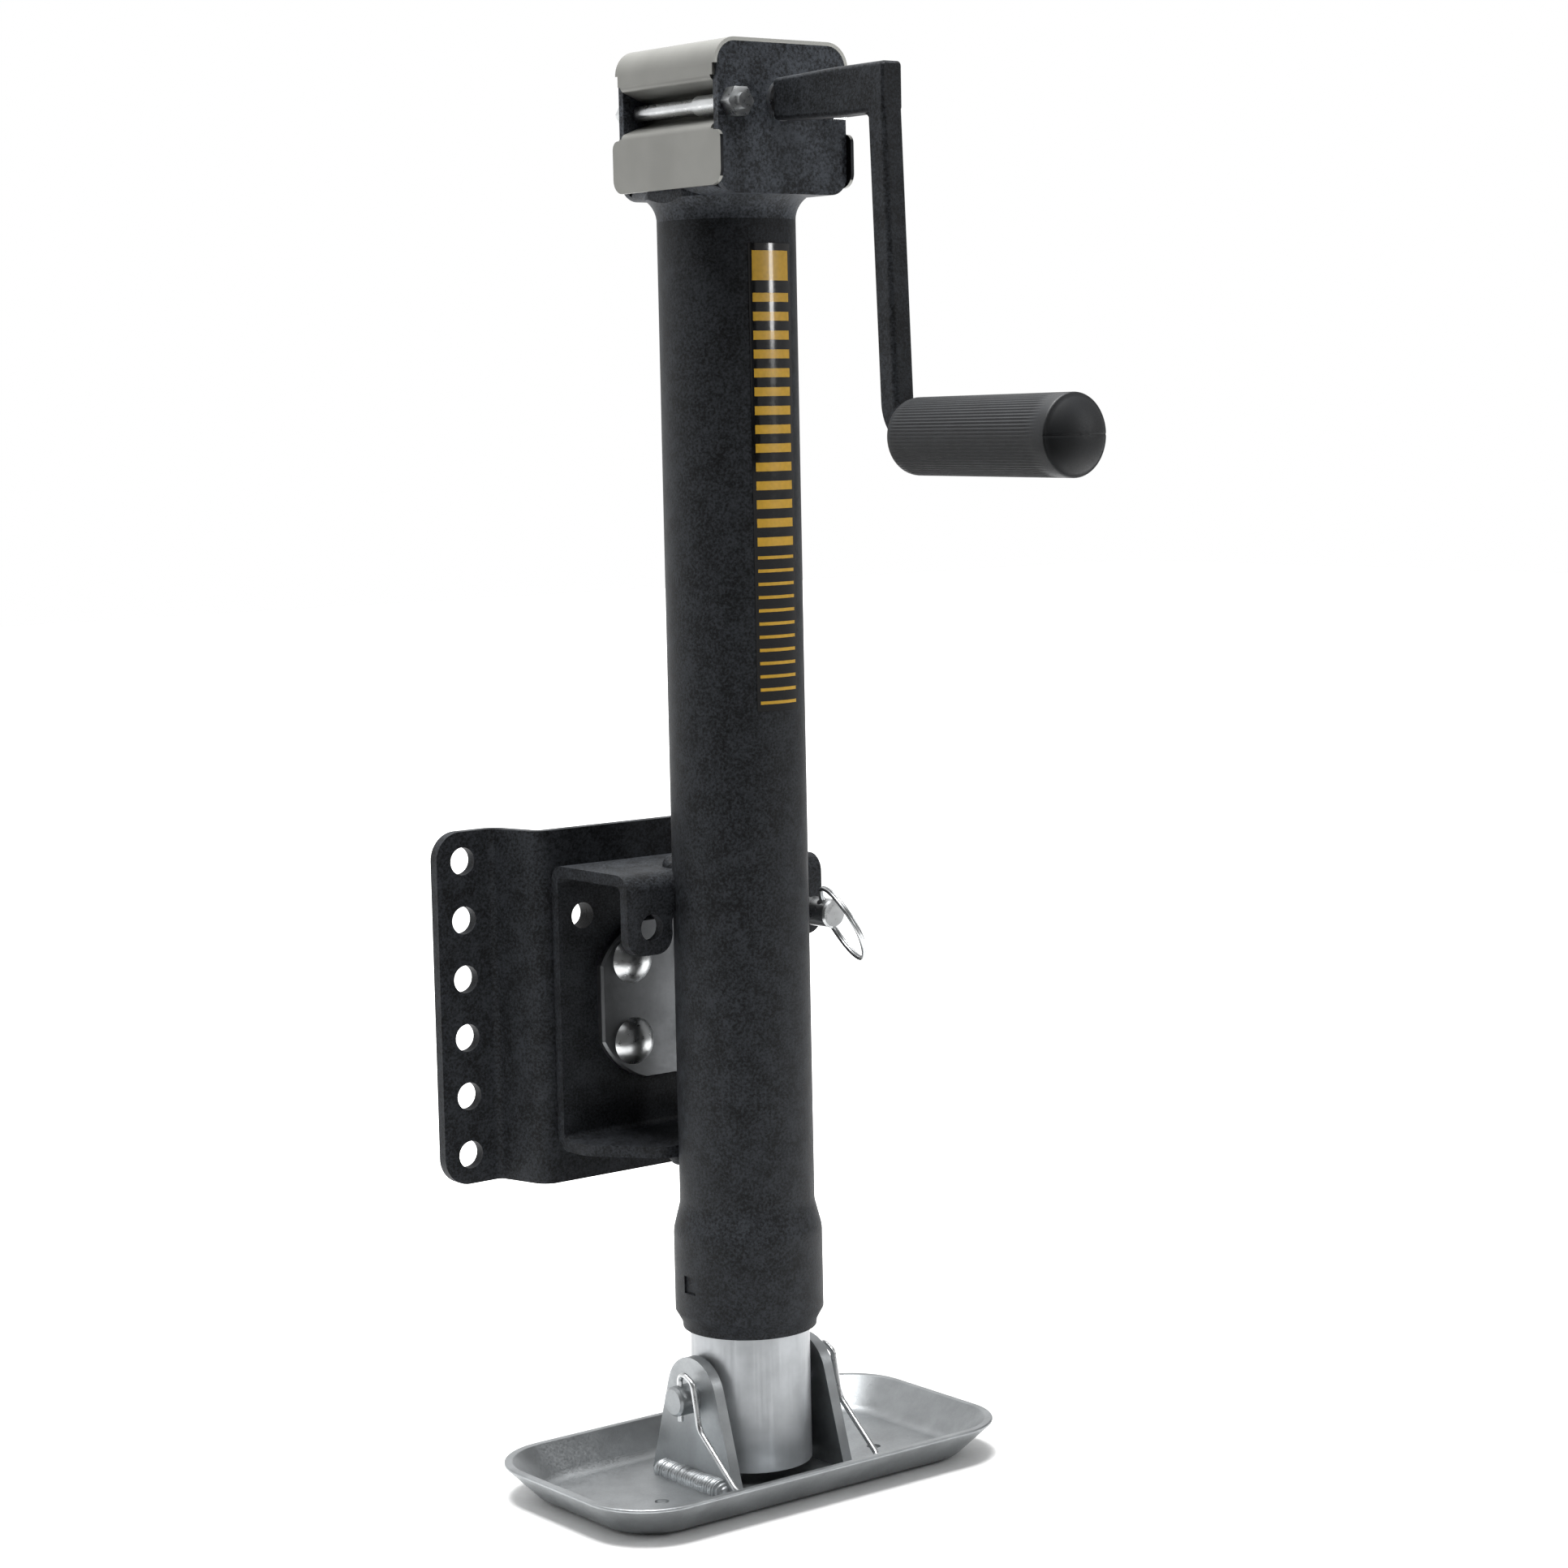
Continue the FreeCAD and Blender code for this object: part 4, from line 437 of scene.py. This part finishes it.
class JACK_OT_grip(bpy.types.Operator):
    """Ribbed rubber grip with a domed end and a mould line"""

    bl_idname = "jack.grip"
    bl_label = "Handle grip"

    def execute(self, context):
        detail = context.scene.jack_detail
        low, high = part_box("handle_grip")
        centre = Vector(((low.x + high.x) / 2, high.y, (low.z + high.z) / 2))
        far = (high.x - low.x) / 2
        near = far - 0.7 * MM
        length = high.y - low.y
        segments = detail.rib_count * 8
        rib = detail.rib_height * MM
        mould_line = 0.22 * MM
        mouth = 9.8 * MM
        rings = []
        mouth_depth = 7.5 * MM
        bore = 4.9 * MM
        for height, r in ((mouth_depth, bore), (mouth_depth, mouth), (0.0, mouth)):
            rings.append([centre - Y * height + (X * math.cos(t) + Z * math.sin(t)) * r
                          for t in (2 * math.pi * k / segments for k in range(segments))])
        profile = grip_profile(length, near, far)
        for height, r in profile:
            fade = min(1.0, max(0.0, (height - 4.0 * MM) / (4.0 * MM)))
            fade *= min(1.0, max(0.0, (length - 11.0 * MM - height) / (5.0 * MM)))
            ring = []
            for k in range(segments):
                t = 2 * math.pi * k / segments
                wave = 0.5 - 0.5 * math.cos(t * detail.rib_count)
                line = math.exp(-((math.sin(t) * r) / (0.45 * MM)) ** 2) if r > 1.5 * MM else 0.0
                end = height - mould_line * line * (1 - fade) if height > length / 2 else height
                radius = r - rib * fade * wave ** 0.8
                ring.append(centre - Y * end + (X * math.cos(t) + Z * math.sin(t)) * radius)
            rings.append(ring)
        bm = bmesh.new()
        rows = skin(bm, rings, cap=False)
        bm.faces.new(rows[0])
        tip = bm.verts.new(centre - Y * (length - 0.25 * MM))
        last = rows[-1]
        for j in range(segments):
            bm.faces.new((last[j], last[(j + 1) % segments], tip))
        finish_piece("ribbed_grip", bm, "rubber", "handle_grip", angle=60)
        return {"FINISHED"}


# ------------------------------------------------------------------ welds
def weld_bead(bm, line, length, leg, ripple, seed):
    """A fillet weld along line(t) = (root, out, up), with ripples and a slightly uneven toe."""
    rng = random.Random(seed)
    steps = max(8, int(length / (0.28 * MM)))
    phase = rng.random() * 6
    drift = [rng.uniform(-1, 1) for _ in range(steps // 12 + 3)]
    rings = []
    for i in range(steps + 1):
        t = i / steps
        root, out, up = line(t)
        end = min(t, 1 - t) * length
        taper = math.sqrt(min(1.0, max(0.02, end / (leg * 0.9))))
        cell = i / 12
        base = int(cell)
        wander = drift[base] * (1 - cell + base) + drift[base + 1] * (cell - base)
        arc = (t * length / ripple + phase) % 1.0
        crest = 1.0 + 0.10 * math.sin(math.pi * arc) + 0.05 * wander
        size = leg * taper * crest
        ring = [root - out * 0.3 * MM - up * 0.3 * MM]
        for k in range(9):
            a = math.pi / 2 * k / 8
            power = 0.82
            ring.append(root + out * size * math.cos(a) ** power + up * size * math.sin(a) ** power)
        rings.append(ring)
    skin(bm, rings)


class JACK_OT_welds(bpy.types.Operator):
    """Rippled weld beads of the swivel bracket and the foot's ears"""

    bl_idname = "jack.welds"
    bl_label = "Weld beads"

    def execute(self, context):
        ripple = context.scene.jack_detail.weld_ripple * MM
        weld_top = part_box("tube_welds")[1].z
        shelf_low, shelf_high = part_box("swivel_bracket")
        leg = weld_top - shelf_high.z
        first, last = (math.radians(angle) for angle in TUBE_WELD)
        bm = bmesh.new()
        for level, up, seed in ((shelf_high.z, Z, 3), (shelf_low.z, -Z, 4)):
            def round_tube(t, level=level, up=up):
                a = first + (last - first) * t
                out = Vector((math.cos(a), math.sin(a), 0))
                return out * TUBE_RADIUS + Z * level, out, up
            weld_bead(bm, round_tube, TUBE_RADIUS * (last - first), leg, ripple, seed)
        finish_piece("tube_weld_beads", bm, "coat", "tube_welds", angle=50)

        ear_low, ear_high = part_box("ear_welds")
        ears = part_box("foot_ears")[1].x
        bm = bmesh.new()
        for side, seed in ((-1, 5), (1, 6)):
            def along_ear(t, side=side):
                y = ear_low.y + (ear_high.y - ear_low.y) * t
                return Vector((side * ears, y, ear_low.z)), X * side, Z
            weld_bead(bm, along_ear, ear_high.y - ear_low.y, ear_high.z - ear_low.z, ripple, seed)
        finish_piece("ear_weld_beads", bm, "sheet_zinc", "ear_welds", angle=50)
        return {"FINISHED"}


# ------------------------------------------------------------------ label
def curved_patch(bm, radius, thickness, angles, heights, columns=10):
    """A thin closed patch on the front of a round tube."""
    first, last = angles
    low, high = heights
    rings = []
    for k in range(columns + 1):
        a = math.radians(first + (last - first) * k / columns - 90)
        out = Vector((math.cos(a), math.sin(a), 0))
        rings.append([out * radius + Z * low, out * (radius + thickness) + Z * low,
                      out * (radius + thickness) + Z * high, out * radius + Z * high])
    skin(bm, rings)


class JACK_OT_label(bpy.types.Operator):
    """Glossy label strip on the tube with a plain column of printed bars"""

    bl_idname = "jack.label"
    bl_label = "Label strip"

    def execute(self, context):
        dress("film", "label_strip")
        low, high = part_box("label_strip")
        surface = TUBE_RADIUS + LABEL_FILM
        angles = (LABEL_MIDDLE - LABEL_HALF, LABEL_MIDDLE + LABEL_HALF)
        block, gap = 12 * MM, 5 * MM
        wide_bar, wide_pitch, wide_run = 3.6 * MM, 7.6 * MM, 118 * MM
        thin_bar, thin_pitch = 1.3 * MM, 5.4 * MM
        bm = bmesh.new()

        def print_bar(upper_edge, height):
            curved_patch(bm, surface, LABEL_INK, angles, (upper_edge - height, upper_edge))

        top = high.z - 3 * MM
        print_bar(top, block)
        level = top - block - gap
        while level > top - wide_run:
            print_bar(level, wide_bar)
            level -= wide_pitch
        while level > low.z + 4 * MM:
            print_bar(level, thin_bar)
            level -= thin_pitch
        finish_piece("label_bars", bm, "ink", "label_strip", replaces=False, angle=30)
        return {"FINISHED"}


# ------------------------------------------------------------------ lock pin and ring
class JACK_OT_lock_pin(bpy.types.Operator):
    """Lock pin with its washer and spring, and a split ring of two turns"""

    bl_idname = "jack.lock_pin"
    bl_label = "Lock pin and ring"

    def execute(self, context):
        dress("bright_zinc", "lock_pin", "lock_washer", "lock_cross_pin", "lock_spring")
        wire = context.scene.jack_detail.ring_wire * MM
        joint = next(j for j in frame["joints"] if j["name"] == "pull_ring_swing")
        hole = Vector(joint["pos_m"])
        across = Vector(joint["axis"]).normalized()
        low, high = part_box("pull_ring")
        centre = (low + high) / 2
        towards = (centre - hole - across * (centre - hole).dot(across)).normalized()
        normal = across.cross(towards)
        radius = 16.9 * MM
        turns = 1.94
        steps = 190
        start = math.radians(200)
        points = []
        for i in range(steps + 1):
            t = i / steps
            angle = start + 2 * math.pi * turns * t
            crossings = smooth_step(t * turns - 0.42) + smooth_step(t * turns - 1.42)
            lift = 1.04 * wire * (crossings - 1.0)
            points.append(centre + (towards * math.cos(angle) + across * math.sin(angle)) * radius
                          + normal * lift)
        bm = bmesh.new()
        skin(bm, tube_rings(points, wire, 12, end_scale=0.75))
        finish_piece("split_ring", bm, "bright_zinc", "pull_ring", angle=60)
        return {"FINISHED"}


def smooth_step(value, width=0.16):
    """Rises softly from 0 to 1 over width."""
    t = min(1.0, max(0.0, value / width))
    return t * t * (3 - 2 * t)


# ------------------------------------------------------------------ groups that keep their CAD shape
class JACK_OT_tubes(bpy.types.Operator):
    """Outer tube and the parts inside it"""

    bl_idname = "jack.tubes"
    bl_label = "Tubes and bearing"

    def execute(self, context):
        dress("coat", "outer_tube")
        dress("tube_zinc", "inner_leg")
        dress("nylon", "wear_bush")
        dress("dark_steel", "leg_nut", "lead_screw", "bearing_plate")
        dress("bearing_steel", "upper_race", "lower_race", "bearing_balls")
        return {"FINISHED"}


class JACK_OT_head(bpy.types.Operator):
    """Gear housing, its cover sheet, bolts, bushes and bevel gears"""

    bl_idname = "jack.head"
    bl_label = "Gear head"

    def execute(self, context):
        # the gear housing wears the black coat lightened as painted light
        dress("lit_head_coat", "gear_housing")
        dress("cover", "head_cover")
        cover = NODES["head_cover"].data
        cover.materials.append(MATERIALS["cover_inside"])
        inside = len(cover.materials) - 1
        low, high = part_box("head_cover")
        sheet = 1.6 * MM
        for face in cover.polygons:
            if is_inner_face(face, low, high, sheet):
                face.material_index = inside
        dress("bright_zinc", "cover_bolts", "cover_nuts", "bolt_sleeves")
        dress("bright_zinc", "front_shaft_bush", "rear_shaft_bush")
        dress("gear_iron", "drive_pinion", "screw_gear")
        dress("dark_steel", "pinion_roll_pin", "gear_roll_pin", "crank_shaft", "shaft_clip")
        return {"FINISHED"}


def is_inner_face(face, low, high, sheet):
    """True for the darker-coloured inside of the cover: its side legs, its roof and the edges at its ends."""
    centre = face.center
    if abs(face.normal.y) > 0.9:
        return min(centre.y - low.y, high.y - centre.y) < sheet and abs(centre.x) > high.x - 2 * sheet
    side = 1 if centre.x > 0 else -1
    if abs(centre.x) > high.x - 2 * sheet:
        return face.normal.x * side < -0.7
    return centre.z > high.z - 2 * sheet and face.normal.z < -0.7


class JACK_OT_handle(bpy.types.Operator):
    """Powder-coated crank handle"""

    bl_idname = "jack.handle"
    bl_label = "Crank handle"

    def execute(self, context):
        dress("coat", "crank_handle")
        return {"FINISHED"}


class JACK_OT_brackets(bpy.types.Operator):
    """Mounting bracket, swivel bracket and the pivot between them"""

    bl_idname = "jack.brackets"
    bl_label = "Brackets and pivot"

    def execute(self, context):
        dress("coat", "mounting_bracket", "swivel_bracket")
        # the swivel disc wears zinc darkened as painted shade
        dress("shaded_pivot_zinc", "swivel_disc")
        dress("bright_zinc", "swivel_rivets")
        dress("dark_steel", "swivel_spacer")
        return {"FINISHED"}


class JACK_OT_foot(bpy.types.Operator):
    """Pressed foot plate, its ears, the foot pin and the wire bail"""

    bl_idname = "jack.foot"
    bl_label = "Foot"

    def execute(self, context):
        dress("sheet_zinc", "foot_plate", "foot_ears", "foot_pin")
        dress("bright_zinc", "pin_clip")
        return {"FINISHED"}


# ------------------------------------------------------------------ stage
def emitter(name, strength):
    """A card that only gives off light, or swallows it at zero strength."""
    return new_material(name, {"Roughness": 1.0, "Specular IOR Level": 0.0, "Base Color": (0, 0, 0, 1),
                               "Emission Color": (1, 1, 1, 1), "Emission Strength": strength})[0]


def add_card(name, material, centre, across, up, width, height):
    """A flat rectangle on the stage."""
    bm = bmesh.new()
    bm.faces.new([bm.verts.new(centre + across * (u * width / 2) + up * (v * height / 2))
                  for u, v in ((-1, -1), (1, -1), (1, 1), (-1, 1))])
    mesh = bpy.data.meshes.new(name)
    bm.to_mesh(mesh)
    bm.free()
    mesh.materials.append(material)
    card = bpy.data.objects.new(name, mesh)
    bpy.context.scene.collection.objects.link(card)
    return card


def soft_light(name, position, target, size, power):
    """A white rectangular soft box aimed at target."""
    data = bpy.data.lights.new(name, "AREA")
    data.shape = "RECTANGLE"
    data.size, data.size_y = size
    data.energy = power
    light = bpy.data.objects.new(name, data)
    bpy.context.scene.collection.objects.link(light)
    light.location = position
    light.rotation_euler = (Vector(target) - Vector(position)).to_track_quat("-Z", "Y").to_euler()
    return light


class JACK_OT_stage(bpy.types.Operator):
    """White paper floor, soft boxes and the camera"""

    bl_idname = "jack.stage"
    bl_label = "Studio stage"

    def execute(self, context):
        stage = context.scene.jack_stage
        context.scene.view_settings.view_transform = "Standard"
        black = emitter("studio_black", 0.0)
        add_card("floor", studio_floor(), Vector((0, 0, 0)), X, Y, PAPER_SIZE, PAPER_SIZE)

        world = bpy.data.worlds.new("studio")
        world.use_nodes = True
        background = world.node_tree.nodes["Background"]
        background.inputs["Color"].default_value = (1.0, 1.0, 1.0, 1.0)
        background.inputs["Strength"].default_value = 1.0
        context.scene.world = world

        azimuth = math.radians(stage.azimuth)
        elevation = math.radians(stage.elevation)
        right = Vector((math.cos(azimuth), -math.sin(azimuth), 0))
        back = Vector((-math.sin(azimuth) * math.cos(elevation), -math.cos(azimuth) * math.cos(elevation),
                       math.sin(elevation)))
        up = back.cross(right)
        roll = math.radians(stage.roll)
        camera_right = right * math.cos(roll) + up * math.sin(roll)
        camera_up = up * math.cos(roll) - right * math.sin(roll)
        aim = Z * stage.aim_height * MM + right * stage.aim_side * MM
        level_back = Vector((back.x, back.y, 0)).normalized()
        dim, grey = emitter("studio_dim", 0.10), emitter("studio_grey", 0.30)
        add_card("flag_front", dim, level_back * 2.0 + Z * 1.3 + right * 0.4, right, Z, 4.6, 2.6)
        on_paper = Z * 0.002
        add_card("flag_floor", black, level_back * 1.25 + right * 0.3 + on_paper,
                 right, level_back, 2.6, 1.8)
        add_card("flag_floor_left", black, -right * 1.3 + level_back * 0.7 + on_paper,
                 right, level_back, 1.5, 2.4)
        add_card("flag_right", grey, right * 0.95 + level_back * 0.2 + Z * 1.0, level_back, Z, 3.6, 2.0)
        add_card("flag_left", dim, -right * 1.7 + level_back * 1.05 + Z * 1.2, level_back, Z, 2.3, 2.4)
        data = bpy.data.cameras.new("camera")
        data.sensor_width = 36.0
        data.lens = stage.lens
        data.clip_start = 0.01
        camera = bpy.data.objects.new("camera", data)
        context.scene.collection.objects.link(camera)
        turn = Matrix((camera_right, camera_up, back)).transposed().to_4x4()
        camera.matrix_world = Matrix.Translation(aim + back * stage.distance * MM) @ turn
        context.scene.camera = camera

        target = Vector((0, 0, 0.3))
        soft_light("top_box", Vector((-0.15, 0.0, 1.7)), target, (0.7, 0.7), 46)
        soft_light("left_box", target - right * 1.5 + level_back * 0.2 + Z * 0.2, target, (0.5, 1.5), 4.5)
        soft_light("right_strip", right * 0.9 + level_back * 0.22 + Z * 0.65, Z * 0.56, (0.12, 0.3), 1.5)
        return {"FINISHED"}


# ------------------------------------------------------------------ panel and registration
PIECES = (JACK_OT_tubes, JACK_OT_head, JACK_OT_handle, JACK_OT_grip, JACK_OT_label, JACK_OT_brackets,
          JACK_OT_welds, JACK_OT_lock_pin, JACK_OT_foot, JACK_OT_stage)


class JACK_PT_panel(bpy.types.Panel):
    """Lists the jack's pieces and its settings"""

    bl_idname = "JACK_PT_panel"
    bl_label = "Trailer jack"
    bl_space_type = "VIEW_3D"
    bl_region_type = "UI"
    bl_category = "Jack"

    def draw(self, context):
        layout = self.layout
        for group in ("jack_finish", "jack_detail", "jack_stage"):
            settings = getattr(context.scene, group)
            column = layout.column(align=True)
            for name in settings.__annotations__:
                column.prop(settings, name)
        for operator in PIECES:
            layout.operator(operator.bl_idname)


GROUPS = {"jack_finish": JackFinish, "jack_detail": JackDetail, "jack_stage": JackStage}
CLASSES = (*GROUPS.values(), *PIECES, JACK_PT_panel)


def register():
    for cls in CLASSES:
        bpy.utils.register_class(cls)
    for name, group in GROUPS.items():
        setattr(bpy.types.Scene, name, PointerProperty(type=group))


def unregister():
    for name in GROUPS:
        delattr(bpy.types.Scene, name)
    for cls in reversed(CLASSES):
        bpy.utils.unregister_class(cls)


def main():
    register()
    make_materials(bpy.context.scene.jack_finish)
    for operator in PIECES:
        getattr(bpy.ops.jack, operator.bl_idname.split(".")[1])()


if __name__ == "__main__":
    main()
